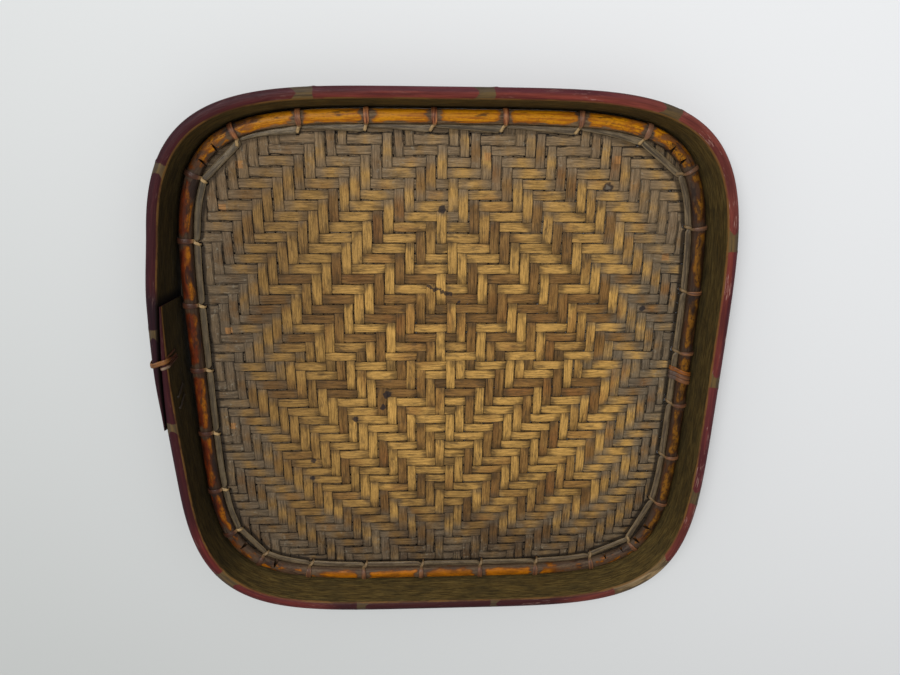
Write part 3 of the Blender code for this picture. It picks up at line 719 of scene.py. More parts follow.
def hoop_finish(settings):
    """Lacquered top edge and outside, bare dark bamboo inside, worn through at the joints."""
    finish = Finish("lacquered_hoop", coat_roughness=0.35, specular=0.13)
    straight, (east, north) = finish.straight, finish.compass
    bare, lap, facing = map(finish.value, ("bare", "outer_end", "facing"))
    _, across, height = finish.split(straight)
    grain, fine = finish.grain(), finish.grain(2.2)
    wear = finish.age(finish.stretch(straight, (0.3, 1, 1)), 120.0, 0.42, 0.66)
    dull = finish.noise(straight, (9, 160, 160), 4.0, 0.6)
    ragged = (wear - 0.5) * 0.0006
    inside = across.rise(0.0055, 0.0065) * (height + ragged).rise(0.0364, 0.0360)
    outer = (across + ragged).rise(0.0050, 0.0030)

    # Lacquer, by side of the tray, then the overlapping end, darker partly as painted shade, and the
    # dull patches.
    lacquer = finish.paint(
        finish.mix(outer, settings.lacquer_inner, settings.lacquer_outer),
        (east.rise(-0.02, -0.19) * 0.85, settings.lacquer_left),
        (north.rise(-0.17, -0.215, 0, 0.85), (38, 12, 16)),
        (east.rise(-0.09, -0.12).least(north.rise(-0.12, -0.17)) * 0.85, (104, 40, 35)),
        (east.rise(0.12, 0.18).least(north.rise(0.05, -0.02)) * 0.7, (86, 38, 42)),
        (east.rise(0.10, 0.14).least(north.rise(-0.10, -0.13)) * 0.8, (122, 58, 46)),
        (east.rise(0.10, 0.17).least(north.rise(0.10, 0.16)) * 0.6, (136, 70, 56)),
        # The overlapping end: its own purple lacquer, darkened in part as painted shade.
        (lap * 0.85, (28, 16, 24)),
        (dull.rise(0.36, 0.64, 0.0, 0.65), (50, 18, 24)),
    )
    lacquer = finish.mix(1.0, lacquer, grain["Streaks"].rise(0, 1, 0.86, 1.14), "MULTIPLY")
    # Pale scuffs on the lacquer, stronger towards the right: partly real scuffs, partly a painted
    # highlight.
    scuffs_and_sheen = grain["Fibres"].rise(0.70, 0.95) * wear.rise(0.5, 1.0)
    scuffs_and_sheen = scuffs_and_sheen * east.rise(0.02, 0.16, 0.15, 0.6)
    lacquer = finish.mix(scuffs_and_sheen, lacquer, (176, 140, 128))

    # Bare skin where the lacquer is gone, at the joints, with a painted highlight on the patch at the
    # lower right.
    highlight_patch = east.rise(0.10, 0.15).least(north.rise(-0.12, -0.16))
    skin = finish.paint(
        finish.mix(outer, (100, 80, 48), (82, 68, 50)),
        (dull.rise(0.42, 0.60, 0, 0.5), (62, 50, 42)),
        (highlight_patch * wear.rise(0.1, 0.7, 0.2, 0.9), (148, 124, 88)),
        (north.rise(-0.19, -0.225, 0, 0.55), (50, 36, 24)),
        (grain["Streaks"].rise(0.3, 0.9, 0, 0.7), (60, 50, 38)),
    )

    # The wall inside.
    bark = finish.paint(
        finish.mix(fine["Streaks"].rise(0.1, 0.9), settings.dark_bark, settings.pale_bark),
        (grain["Fibres"].rise(0.5, 1.0, 0, 0.38), (106, 90, 50)),
        (wear * 0.45, (38, 34, 22)),
        # Painted shade at the foot of the wall.
        (height.rise(0.016, 0.002, 0, 0.35), (26, 22, 15)),
    )
    # Painted light: the inner face is made paler on the top and bottom sides of the tray.
    bark = finish.mix(1.0, bark, abs(north).rise(0.10, 0.20, 1.0, 1.5), "MULTIPLY")
    # Painted shade on the inner face at the left and on the overlapping end.
    bark = finish.mix(east.rise(-0.15, -0.21, 0, 0.5).most(lap * 0.9), bark, (22, 18, 11))

    edge = bare + (wear - 0.5) * 0.0018
    worn = across.rise(0.0078, 0.0083) * wear.rise(0.0, 0.5, 0.35, 0.85)
    worn = worn * lap.rise(0, 0.5, 1, 0.2)
    brink = across.rise(0.0007, 0.0001) * height.rise(0.0350, 0.0358, 0.3, 0.8)
    # The last layer is painted shade where the two ends of the lap face each other.
    colour = finish.paint(
        finish.mix(edge.rise(-0.0004, 0.0004), lacquer, skin),
        (worn, (112, 80, 38)), (brink, (56, 42, 26)), (inside, bark), (facing, (14, 9, 8)),
    )
    finish.feed(finish.shader["Coat Weight"], inside.rise(0, 1, 0.03, 0.0))
    rough = inside.rise(0, 1, 0.45, 0.7)
    return finish.done(colour, rough, grain["Streaks"] + grain["Fibres"], 0.0002, 0.5)


def ring_finish(settings):
    """Golden skin, mottled and scorched at the sides and browner round the stitches, with painted
    shade towards the wall.
    """
    finish = Finish("golden_ring", coat=0.04, coat_roughness=0.28, specular=0.14)
    straight, (east, north) = finish.straight, finish.compass
    near = finish.value("near_stitch")
    across = finish.split(straight)[1]
    grain = finish.grain()
    aside, away = abs(east), abs(north)
    side = (aside - away).rise(-0.05, 0.04)
    corner = aside.least(away).rise(0.120, 0.155)
    right = east.rise(0.10, 0.17)
    bottom = north.rise(-0.12, -0.20)
    patches = finish.noise(straight, (70, 200, 200), 3.0, 0.5, (4, 0, 1))
    mottle = finish.noise(straight, (330, 560, 560), 4.0, 0.65, (7, 1, 2)).rise(0.46, 0.64)
    scorch = finish.noise(straight, (40, 170, 170), 4.0, 0.6, (1, 5, 2))
    swing = patches - 0.5
    rub = across + swing * 0.018

    # Skin: golden at the top, tawny at the bottom, ember on the left and brown on the right; on both
    # sides it darkens towards the wall as painted shade.
    gold = finish.mix(grain["Streaks"].rise(0.0, 0.7), settings.amber_skin, settings.golden_skin)
    tawny = finish.mix(patches.rise(0.38, 0.62), (124, 70, 10), (166, 96, 6))
    # Across the ring the skin darkens towards the wall: painted shade.
    ember = finish.mix(rub.rise(-0.0070, -0.0005), (40, 12, 5), settings.ember_skin)
    ember = finish.mix(rub.rise(-0.0016, 0.0072), ember, settings.burnt_skin)
    brown = finish.mix(rub.rise(-0.0052, 0.0034), (36, 23, 11), (124, 80, 18))
    darkened = (side + corner).rise(0, 1, 0.18, 0.55) + right * 0.25
    skin = finish.paint(
        finish.mix(bottom * 0.9, gold, tawny),
        (side, finish.mix(right, ember, brown)),
        (mottle * darkened, (48, 26, 14)),
    )

    # What lies bare round the stitches and along the worn inner side.
    bark = finish.paint(
        finish.mix(grain["Streaks"].rise(0.1, 0.9), (82, 60, 44), settings.bare_skin),
        (side * 0.80, (42, 25, 15)),
        (bottom * 0.55, (70, 56, 46)),
        (corner * 0.50, (76, 60, 46)),
        (mottle * 0.30, (44, 32, 30)),
    )
    between = (near + swing * 0.014).rise(0.0036, 0.0088)
    kept = between * (across + swing * -0.007).rise(0.0053, 0.0018)
    low_corner = aside.rise(0.095, 0.120) * north.rise(-0.160, -0.180)
    spared = east.rise(0.11, 0.13).least(north.rise(-0.11, -0.13, 0, 0.85))
    thinned = corner * patches.rise(0.42, 0.60, 0.75, 0.0) * (1.0 - spared)
    thinned = thinned.most(low_corner * patches.rise(0.50, 0.66, 0.85, 0.2))
    kept = kept * (1.0 - thinned)
    border = finish.mix(side.most(bottom * 0.8), settings.amber_skin, (66, 34, 14))
    depth = (side + corner).rise(0, 1, 0.62, 0.54)
    # Painted shade on the ring's outer flank beside the wall, weaker at the top.
    flank = across.rise(-0.0036, -0.0053) * north.rise(0.14, 0.19, 0.80, 0.25)
    colour = finish.paint(
        bark,
        (kept.rise(0.0, 0.55), border),
        (kept.rise(0.20, 0.95), skin),
        ((scorch - depth).rise(-0.02, 0.08, 0, 0.75), (34, 24, 22)),
        (grain["Pores"] * 0.5, (58, 34, 18)),
        (flank, (34, 22, 14)),
    )
    rough = kept.rise(0, 1, 0.58, 0.38)
    return finish.done(colour, rough, grain["Streaks"] + patches * 2.0, 0.0003, 0.5)


def cane_finish(name, dark, pale, foot, edge=CANE_EDGE, aged=0.0):
    """Split cane, each piece of its own tone, and another colour where its foot is twisted."""
    finish = Finish(name, specular=0.3)
    straight, (east, north) = finish.straight, finish.compass
    grain = finish.grain(1.3)
    end = finish.value("foot")
    own = finish.noise(straight, (0, 0, 23), 1.0, shift=(5, 1, 0))
    dirt = finish.age(straight, 180.0, 0.42, 0.68)
    far_corner = east.rise(0.08, 0.12).least(north.rise(0.06, 0.14))
    soiled = east.rise(0.15, 0.19).most(north.rise(-0.14, -0.19))
    # Painted shade on the ties at the left, away from their feet.
    darkened = east.rise(-0.15, -0.18) * end.rise(0.5, 0.1)
    side = abs(finish.split(straight)[1])
    colour = finish.paint(
        finish.mix(grain["Streaks"].rise(0.15, 0.85), dark, pale),
        # Painted shade: ties darker on the left.
        (east.rise(-0.14, -0.20, 0, 0.55), dark),
        (own.rise(0.42, 0.66, 0, 0.3 + 0.1 * aged), finish.mix(0.5, dark, (120, 96, 76))),
        (far_corner * (0.5 * aged), (108, 82, 66)),
        (end.rise(0.2, 0.8), foot),
        (soiled * (0.2 + 0.4 * aged), (74, 54, 38)),
        (darkened * (0.8 * aged), (42, 18, 12)),
        # Long edges: dark on ties, a painted highlight on runs.
        (side.rise(0.0016, 0.0024, 0, 0.4), edge),
        (dirt * 0.35, (58, 46, 36)),
    )
    rough = grain["Streaks"].rise(0, 1, 0.5, 0.34)
    return finish.done(colour, rough, grain["Streaks"] + grain["Fibres"], 0.00012, 0.6)


def bare_finish(name, dark, pale, dirt):
    """Plain split bamboo without its skin."""
    finish = Finish(name, specular=0.2)
    grain = finish.grain()
    age = finish.age(finish.straight, 60.0, 0.4, 0.65)
    colour = finish.paint(finish.mix(grain["Streaks"], dark, pale), (age * 0.5, dirt))
    rough = grain["Fibres"].rise(0, 1, 0.66, 0.5)
    return finish.done(colour, rough, grain["Streaks"], 0.0002, 0.6)


def floor_finish(settings):
    """A plain floor, painted paler to the north-east and darker to the south-west as painted light
    and shade, that fades into the backdrop far away, for the camera alone.
    """
    finish = Finish("floor_paint", roughness=0.9, specular=0.2)
    east, north = finish.compass
    # Painted light and shade: paler towards the north-east, darker towards the south-west.
    light = (east * 0.62 + north * 0.38).rise(-0.55, 0.55)
    paint = finish.shader["Base Color"]
    finish.feed(paint, finish.mix(light, (196, 199, 198), settings.floor_colour))
    far = finish.camera_ray() * finish.vector("LENGTH", finish.place).rise(HAZE_FROM, HAZE_TO)
    backdrop = {"Color": BACKDROP_COLOUR, "Strength": BACKDROP_STRENGTH}
    haze = finish.add("ShaderNodeEmission", backdrop).outputs[0]
    blend = finish.add("ShaderNodeMixShader", {0: far, 1: paint.node.outputs[0], 2: haze})
    finish.feed(finish.tree.nodes["Material Output"].inputs["Surface"], blend.outputs[0])
    return finish.material


@cache
def finishes():
    """Every material of the basket by its name, made once from the colours in the panel."""
    fibre_group()
    grime_group()
    scene = bpy.context.scene
    cane = scene.basket_cane
    made = [
        woven_finish(scene.basket_mat),
        hoop_finish(scene.basket_hoop),
        ring_finish(scene.basket_rings),
        bare_finish("bare_bamboo", (92, 70, 42), (138, 110, 68), (62, 52, 38)),
        bare_finish("sawn_bamboo", (30, 20, 12), (62, 44, 26), (24, 17, 11)),
        cane_finish("cane_tie", cane.dark_tie, cane.pale_tie, cane.twisted_foot, aged=1.0),
        cane_finish("cane_run", cane.dark_run, cane.pale_run, cane.pale_run, RUN_EDGE_HIGHLIGHT),
    ]
    made += [cane_finish(name, *colours) for name, colours in OTHER_CANES.items()]
    return {finish.name: finish.material for finish in made}


def horizontal_on_top(column, row):
    """The herringbone: whether the strip along X is on top where a column and a row cross."""
    aside = np.where(column >= 0, column, -column - 1)
    away = np.where(row >= 0, row, -row - 1)
    late = (aside + away) % WEAVE_REPEAT >= WEAVE_FLOAT
    same_sign = (column >= 0) == (row >= 0)
    return np.where(same_sign, ~late, late)


def weave_state(cell, own, lengthwise):
    """1 where a strip is over the one it crosses in a cell, and -1 where it is under."""
    over = horizontal_on_top(cell, own) if lengthwise else ~horizontal_on_top(own, cell)
    return np.where(over, 1.0, -1.0)


def weave_height(along, own, lengthwise):
    """From -1, under, to 1, over, along strips given by their cell number."""
    first = np.floor(along - 0.5).astype(int)
    share = along - 0.5 - first
    here, there = (weave_state(cell, own, lengthwise) for cell in (first, first + 1))
    return here + (there - here) * ease((share - 0.2) / 0.6)


def float_crest(along, own, lengthwise):
    """1 at the middle of a float, falling to 0 at its ends."""
    half = WEAVE_FLOAT / 2
    offsets = np.linspace(-half, half, FLOAT_SAMPLES + 1)[:-1] + half / FLOAT_SAMPLES
    cells = [np.floor(along + offset).astype(int) for offset in offsets]
    return np.mean([weave_state(cell, own, lengthwise) for cell in cells], axis=0)


def strip_tones(lengthwise, draw):
    """How golden each strip is, from the strips that are seen to be brown or dull."""
    brown, dull = (BROWN_ROWS, DULL_ROWS) if lengthwise else (BROWN_COLUMNS, DULL_COLUMNS)
    numbers = np.arange(STRIPS_EACH_WAY) - STRIPS_EACH_WAY // 2
    tones = np.where(np.isin(numbers, dull), DULL_TONE, GOLDEN_TONE)
    tones = np.where(np.isin(numbers, brown), BROWN_TONE, tones)
    return tones + draw.uniform(-0.1, 0.1, STRIPS_EACH_WAY)


def spot_tree(spots):
    """A search tree of places in plan."""
    tree = KDTree(len(spots))
    for index, (across, deep) in enumerate(spots):
        tree.insert((across, deep, 0), index)
    tree.balance()
    return tree


def inset_of(places):
    """How far each place lies in from the rim's outer line."""
    tree = spot_tree(RIM.points[:-1])
    return np.array([tree.find((across, deep, 0))[2] for across, deep, _ in places])


def distance_from_runs(places, inset):
    """How far each place lies in from the inner edge of the run nearest to it."""
    gaps = np.full(len(places), FAR_FROM_RUNS)
    near = inset < NEAR_RIM
    spots = places[near][:, :2]
    for index in range(len(STITCH_SHARES)):
        start, end, aside = (np.array(part[:2]) for part in run_chord(index))
        line = end - start
        along = (spots - start) @ line / (line @ line)
        parts, widths, tucks = (np.array(values) for values in zip(*run_shape(index)))
        edge = np.interp(along, parts, widths * RUN_WIDTH - tucks)
        off = (spots - start) @ aside if index in CORNER_RUNS else inset[near] - RUN_EDGE
        beside = (along >= 0) & (along <= 1)
        gaps[near] = np.where(beside, np.minimum(gaps[near], off - edge), gaps[near])
    return gaps


def turned(places, lengthwise):
    """Places of strips along X, swapped for strips across."""
    return places if lengthwise else places[:, [1, 0, 2]]


def weave_strips(lengthwise, settings, seed):
    """All strips of one direction: one flat strip, arrayed, trimmed, pierced and pressed in."""
    cells = STRIPS_EACH_WAY
    steps = {"x_subdivisions": cells * STEPS_PER_CELL, "y_subdivisions": 4}
    bpy.ops.mesh.primitive_grid_add(size=1, location=(0, 0, 0), **steps)
    strips = bpy.context.object
    places = corners_of(strips)
    places[:, 0] *= cells * WEAVE_PITCH
    from_middle = np.abs(places[:, 1])
    part = np.where(from_middle > 0.4, 0.5, 0.37)
    places[:, 1] = np.sign(places[:, 1]) * part * settings.strip_width * (from_middle > 0.1)
    move_corners(strips, places)
    repeat(strips, cells, (0, WEAVE_PITCH, 0))
    places = corners_of(strips)
    places[:, 1] -= (cells // 2 - 0.5) * WEAVE_PITCH
    move_corners(strips, turned(places, lengthwise) + (*WEAVE_CENTRE, MAT_HIGH.z))
    trim_to_tray(strips)
    widen_at_scarf(strips)
    pierce_mat(strips)
    press_in(strips, lengthwise, settings, np.random.default_rng(seed))
    apply_modifier(strips, "SOLIDIFY", thickness=settings.strip_thickness, offset=0)
    round_off(strips, 50)
    return strips


def press_in(strips, lengthwise, settings, draw):
    """Give flat strips their widths, wavering, crown and the ups and downs of the weave."""
    flat = corners_of(strips)
    inset = inset_of(flat)
    local = turned(flat - (*WEAVE_CENTRE, 0), lengthwise)
    along = local[:, 0] / WEAVE_PITCH
    own = np.floor(local[:, 1] / WEAVE_PITCH).astype(int)
    across = local[:, 1] - (own + 0.5) * WEAVE_PITCH
    strip = own + STRIPS_EACH_WAY // 2
    ranges = ((0.90, 1.03), (-0.00028, 0.00028), (0, 40))
    widths, shifts, phases = (draw.uniform(*ends, STRIPS_EACH_WAY)[strip] for ends in ranges)
    tones = strip_tones(lengthwise, draw)[strip]
    crest = float_crest(along, own, lengthwise)
    waver = 0.00016 * np.sin(along * 0.9 + phases) + 0.00010 * np.sin(along * 2.3 + 2 * phases)
    narrowing = 1 - 0.05 * np.clip(-crest, 0, 1) - 0.03 * (1 + np.sin(along * 1.7 + phases)) / 2
    level = weave_height(along, own, lengthwise)
    height = (MAT_LOW.z + MAT_HIGH.z) / 2 + level * settings.weave_depth
    crown = settings.strip_crown * (2 * across / settings.strip_width) ** 2
    height += settings.float_rise * np.clip(crest, 0, 1) - crown
    middle = (own + 0.5) * WEAVE_PITCH + shifts + waver + across * widths * narrowing
    apart = own * 0.37 + (0 if lengthwise else 50)
    keep_straight(strips, np.column_stack((local[:, 0], across, apart)))
    from_run = distance_from_runs(flat, inset)
    store_values(strips, tone=tones, crest=crest, inset=inset, from_run=from_run)
    places = turned(np.column_stack((local[:, 0], middle, height)), lengthwise)
    move_corners(strips, places + (*WEAVE_CENTRE, 0))


def stitch_hole(index):
    """Where a stitch goes down through the mat, just inside its run."""
    share = STITCH_SHARES[index]
    spot = RIM.place(share, FOOT_INSET, 0) + RIM.at(share)[1] * DRIFTS[index] * HOLE_DRIFT
    return spot[:2]


def pierce_mat(strips):
    """Cut the awl's small holes beside the stitches."""
    tree = spot_tree([stitch_hole(index) for index in range(len(STITCH_SHARES))])

    def nearer_than(reach):
        return lambda face: tree.find((*face.center[:2], 0))[2] < reach

    with editing(strips):
        bpy.ops.mesh.select_mode(type="FACE")
        select_faces(strips, nearer_than(REFINED))
        bpy.ops.mesh.subdivide(number_cuts=2)
        select_faces(strips, nearer_than(PIERCED))
        bpy.ops.mesh.delete(type="FACE")


def trim_to_tray(strips):
    """Cut the strips off along the mat's round-cornered edge."""
    inset = RIM_HALF - (MAT_HIGH.y - MAT_LOW.y) / 2
    with editing(strips):
        for share in np.linspace(0, 1, TRIM_CUTS, endpoint=False):
            spot, _, inward = RIM.at(share)
            bpy.ops.mesh.select_all(action="SELECT")
            bpy.ops.mesh.bisect(plane_co=spot + inward * inset, plane_no=-inward, clear_outer=True)


def widen_at_scarf(strips):
    """Draw the mat's hidden edge out under the ring, above the scarf's inner tip."""
    places = corners_of(strips)
    above = places[:, 1] - RIM.at(LAP_START)[0].y
    near = np.where(above > 0, ease(1 - above / EDGE_OUT_UP), ease(1 + above / EDGE_OUT_DOWN))
    hidden = ease((EDGE_OUT_DEPTH - (places[:, 0] - RIM_SHIFT + RIM_HALF)) / EDGE_OUT_FADE)
    places[:, 0] -= EDGE_OUT * near * hidden
    move_corners(strips, places)


def lap_insets(share, first_turn):
    """Outer and inner insets of the hoop along its first turn, or on its overlapping end."""
    turn = share if first_turn else share - 1
    progress = (turn - LAP_START) * RIM.length / LAP_LENGTH
    fullness = np.clip(progress, 0, 1)
    near = (share - LAP_CENTRE_SHARE + 0.5) % 1 - 0.5
    reach = LAP_LENGTH / 2 + LAP_EASE
    swell = LAP_BULGE * ease((reach - np.abs(near) * RIM.length) / reach)
    first_thickness = LAP_TIP + (HOOP_THICKNESS - LAP_TIP) * fullness
    first_outer = HOOP_THICKNESS - first_thickness - swell
    if first_turn:
        return first_outer, HOOP_THICKNESS - swell
    thickness = LAP_TIP + (HOOP_THICKNESS - LAP_TIP) * (1 - fullness)
    step_out = ease(1 + progress * LAP_LENGTH / LAP_EASE)
    plain = HOOP_THICKNESS - swell - (LAP_TIP + LAP_GAP) * step_out
    closing = ease((progress - GAP_CLOSES_FROM) / (1 - GAP_CLOSES_FROM))
    inner = np.where(progress < 0, plain, first_outer - LAP_GAP * (1 - GAP_CLOSED * closing))
    return inner - thickness, inner


def hoop_section():
    """Section of the hoop: flat foot with eased corners, and a crowned top."""
    thick, levels = HOOP_THICKNESS, (FOOT_EASE, *WALL_LEVELS, SHOULDER - FOOT_EASE)
    points = [(FOOT_EASE, 0), (thick - FOOT_EASE, 0)] + [(thick, level) for level in levels]
    for index in range(CROWN_STEPS + 1):
        angle = math.pi * index / CROWN_STEPS
        rise = CROWN_RISE * math.sin(angle) ** CROWN_POWER
        points.append((thick * (1 + math.cos(angle)) / 2, SHOULDER + rise))
    return points + [(0, level) for level in reversed(levels)]


def shape_hoop(bar, settings):
    """Shave both ends of the straight hoop to scarfs, lean its wall and raise its joints."""
    places = corners_of(bar)
    share = LAP_START + places[:, 0] / RIM.length
    last = share > LAP_START + 1 - LAP_EASE / RIM.length
    outer, inner = (
        np.where(last, late, early)
        for late, early in zip(lap_insets(share, False), lap_insets(share, True))
    )
    across = places[:, 1] / HOOP_THICKNESS
    ridge = np.zeros(len(places))
    bare = np.full(len(places), COVERED)
    tongue = TONGUE * (2 * across - 1) ** 2
    for centre, square_end, tongue_tip in HOOP_NODES:
        if centre > 1:
            away = np.where(last, (share - centre) * RIM.length, ELSEWHERE)
        else:
            away = ((share - centre + 0.5) % 1 - 0.5) * RIM.length
            away = np.where(share > OVERLAP_SHARE, ELSEWHERE, away)
        ridge = np.maximum(ridge, np.exp(-(((away + square_end) / RIDGE_HALF) ** 2)))
        bare = np.maximum(bare, np.minimum(away + square_end, tongue_tip + tongue - away))
    keep_straight(bar, np.column_stack((share * RIM.length, places[:, 1:])))
    # Painted shade where the two ends face each other in the lap.
    past_end = (share - LAP_START - 1) * RIM.length
    in_lap = ease(np.where(last, past_end / 0.01 + 1, (LAP_START - share) * RIM.length / 0.01 + 11))
    facing = np.where(last, ease((across - 0.70) / 0.25), ease((0.22 - across) / 0.18))
    outer_end = np.where(last, ease(1 + past_end / 0.02), 0)
    store_values(bar, bare=bare, facing=0.92 * facing * in_lap, outer_end=outer_end)
    raised = settings.joint_rise * ridge
    places[:, 1] = outer + (inner - outer) * across + lean_at(places[:, 2]) - raised * (1 - across)
    places[:, 2] -= RIDGE_DIP * ridge * (places[:, 2] > SHOULDER)
    move_corners(bar, places)


def half_round(height, flank, way):
    """Section of a split bamboo, its flat face at zero and its back towards way."""
    half, soft = RING_WIDTH / 2, RING_CORNER
    points = [(-half + soft, 0), (-half, soft * way)]
    for index in range(15):
        angle = math.pi * (1 - index / 14)
        rise = flank + (height - flank) * math.sin(angle)
        points.append((half * math.cos(angle), rise * way))
    return points + [(half, soft * way), (half - soft, 0)]


def stitch_distance(along):
    """Metres from each place along the rim to the nearest stitch."""
    gaps = np.abs((along[:, None] / RIM.length - np.array(STITCH_SHARES)[None, :] + 0.5) % 1 - 0.5)
    return gaps.min(axis=1) * RIM.length


def bent_ring(inset, level, section, joint, kerfed=False):
    """A split bamboo made straight, kerfed on its inner side, then bent round inside the hoop."""
    bar = straight_bar(section, RIM.length, RING_STEPS)
    places = corners_of(bar)
    places[:, 0] *= (RIM.length - RING_END_GAP) / RIM.length
    to_end = RIM.length - places[:, 0]
    slope = np.clip(1 - places[:, 0] / RING_SCARF, 0, 1) + np.clip(1 - to_end / RING_SCARF, 0, 1)
    places[:, 0] += places[:, 1] * RING_SCARF_SLOPE * slope
    move_corners(bar, places)
    with editing(bar):
        bpy.ops.mesh.normals_make_consistent(inside=False)
    if kerfed:
        saw = saw_kerfs(joint)
        apply_modifier(bar, "BOOLEAN", object=saw, operation="DIFFERENCE", solver="EXACT")
        bpy.data.objects.remove(saw)
        dress(bar, "golden_ring", "sawn_bamboo")
        for face in bar.data.polygons:
            face.material_index = int(abs(face.normal.x) > 0.7)
    places = corners_of(bar)
    along = (places[:, 0] + joint * RIM.length) % RIM.length
    keep_straight(bar, np.column_stack((along, places[:, 1:])))
    store_values(bar, near_stitch=stitch_distance(along))
    move_corners(bar, places + (0, inset, level))
    bend_round(bar, joint, 1.02)
    round_off(bar, 38)
    return bar


def saw_kerfs(joint):
    """Wedges standing where the kerfs are cut into the straight ring, wider at its inner side."""
    blades = []
    for shares, (mouth, reach) in ((KERF_SHARES, KERF_CUT), (SHORT_KERF_SHARES, SHORT_KERF_CUT)):
        for share in shares:
            along = ((share - joint) % 1) * RIM.length
            bpy.ops.mesh.primitive_cube_add(size=1, location=(0, 0, 0))
            blade = bpy.context.object
            places = corners_of(blade)
            open_side = places[:, 1] > 0
            places[:, 0] *= np.where(open_side, mouth, BLADE_TIP)
            places[:, 1] = np.where(open_side, BLADE_OUT, reach)
            places[:, 2] *= BLADE_HEIGHT
            move_corners(blade, places + (along, 0, BLADE_LEVEL))
            blades.append(blade)
    return join(*blades)


def cane_section(width, thickness=CANE_THICKNESS):
    """Split cane: flat below, domed and skinned above."""
    half, thin = width / 2, thickness / 2
    points = [(-half + CANE_CORNER, -thin), (half - CANE_CORNER, -thin), (half, -thin * 0.5)]
    for index in range(5):
        angle = math.pi * (index + 0.5) / 5
        points.append((half * math.cos(angle), thin * (0.1 + 0.9 * math.sin(angle))))
    return points + [(-half, -thin * 0.5)]


def smooth_route(route, shares, closed):
    """Places, width directions and values along a route, at shares of its length, and that length."""
    centres = np.array([stop[0][:] for stop in route])
    axes = np.array([stop[1][:] for stop in route])
    values = np.array([stop[2:] for stop in route], float)
    if closed:
        centres, axes, values = (np.concatenate((part, part[:1])) for part in (centres, axes, values))
    lengths = np.append(0, np.cumsum(np.linalg.norm(np.diff(centres, axis=0), axis=1)))
    marks = shares * lengths[-1]
    slopes = np.gradient(centres, lengths, axis=0)
    if closed:
        slopes[0] = slopes[-1] = (slopes[0] + slopes[-1]) / 2
    index = np.clip(np.searchsorted(lengths, marks, side="right") - 1, 0, len(lengths) - 2)
    span = (lengths[index + 1] - lengths[index])[:, None]
    part = (marks - lengths[index])[:, None] / span
    bends = (2 * part ** 3 - 3 * part ** 2 + 1, part ** 3 - 2 * part ** 2 + part)
    more = (-2 * part ** 3 + 3 * part ** 2, part ** 3 - part ** 2)
    spots = bends[0] * centres[index] + bends[1] * span * slopes[index] * TAUTNESS
    spots += more[0] * centres[index + 1] + more[1] * span * slopes[index + 1] * TAUTNESS
    sides, blended = (
        table[index] * (1 - part) + table[index + 1] * part for table in (axes, values)
    )
    return spots, sides, blended, lengths[-1]


def lay_cane(route, section, steps, number, material, closed=False):
    """Lay a straight cane along a route of (place, width direction, width share, foot)."""
    bar = straight_bar(section, 1, steps, capped=not closed)
    places = corners_of(bar)
    stations, which = np.unique(np.round(places[:, 0], 6), return_inverse=True)
    spots, sides, values, length = smooth_route(route, stations, closed)
    ahead = np.gradient(spots, axis=0)
    if closed:
        ahead[0] = ahead[-1] = ahead[0] + ahead[-1]
        spots[-1] = spots[0]
    ahead /= np.linalg.norm(ahead, axis=1)[:, None]
    sides = sides - ahead * np.sum(sides * ahead, axis=1)[:, None]
    sides /= np.linalg.norm(sides, axis=1)[:, None]
    backs = np.cross(sides, ahead)
    apart = np.full(len(places), number * 0.113)
    keep_straight(bar, np.column_stack((places[:, 0] * length, places[:, 1], apart)))
    store_values(bar, foot=values[which, 1])
    laid = spots[which] + sides[which] * (places[:, 1] * values[which, 0])[:, None]
    laid += backs[which] * places[:, 2:3]
    move_corners(bar, laid)
    if closed:
        with editing(bar):
            bpy.ops.mesh.remove_doubles(threshold=0.00004)
    round_off(bar, 60)
    dress(bar, material)
    return bar


def arch(middle, level, rise, first, last, count):
    """Stops of a cane over a ring: inset and height."""
    half = RING_WIDTH / 2 + CANE_OFFSET
    angles = np.linspace(first, last, count)
    return [(middle + half * math.cos(a), level + rise * math.sin(a)) for a in angles]


OVER_RING = arch(
    RING_INSET, RING_LOW.z + RING_FLANK,
    RING_HIGH.z - RING_LOW.z - RING_FLANK + CANE_OFFSET, math.pi, 0, 9,
)
UNDER_RING = arch(
    UNDER_INSET, UNDER_HIGH.z - UNDER_FLANK,
    UNDER_HIGH.z - UNDER_LOW.z - UNDER_FLANK + CANE_OFFSET, 2 * math.pi, math.pi, 8,
)


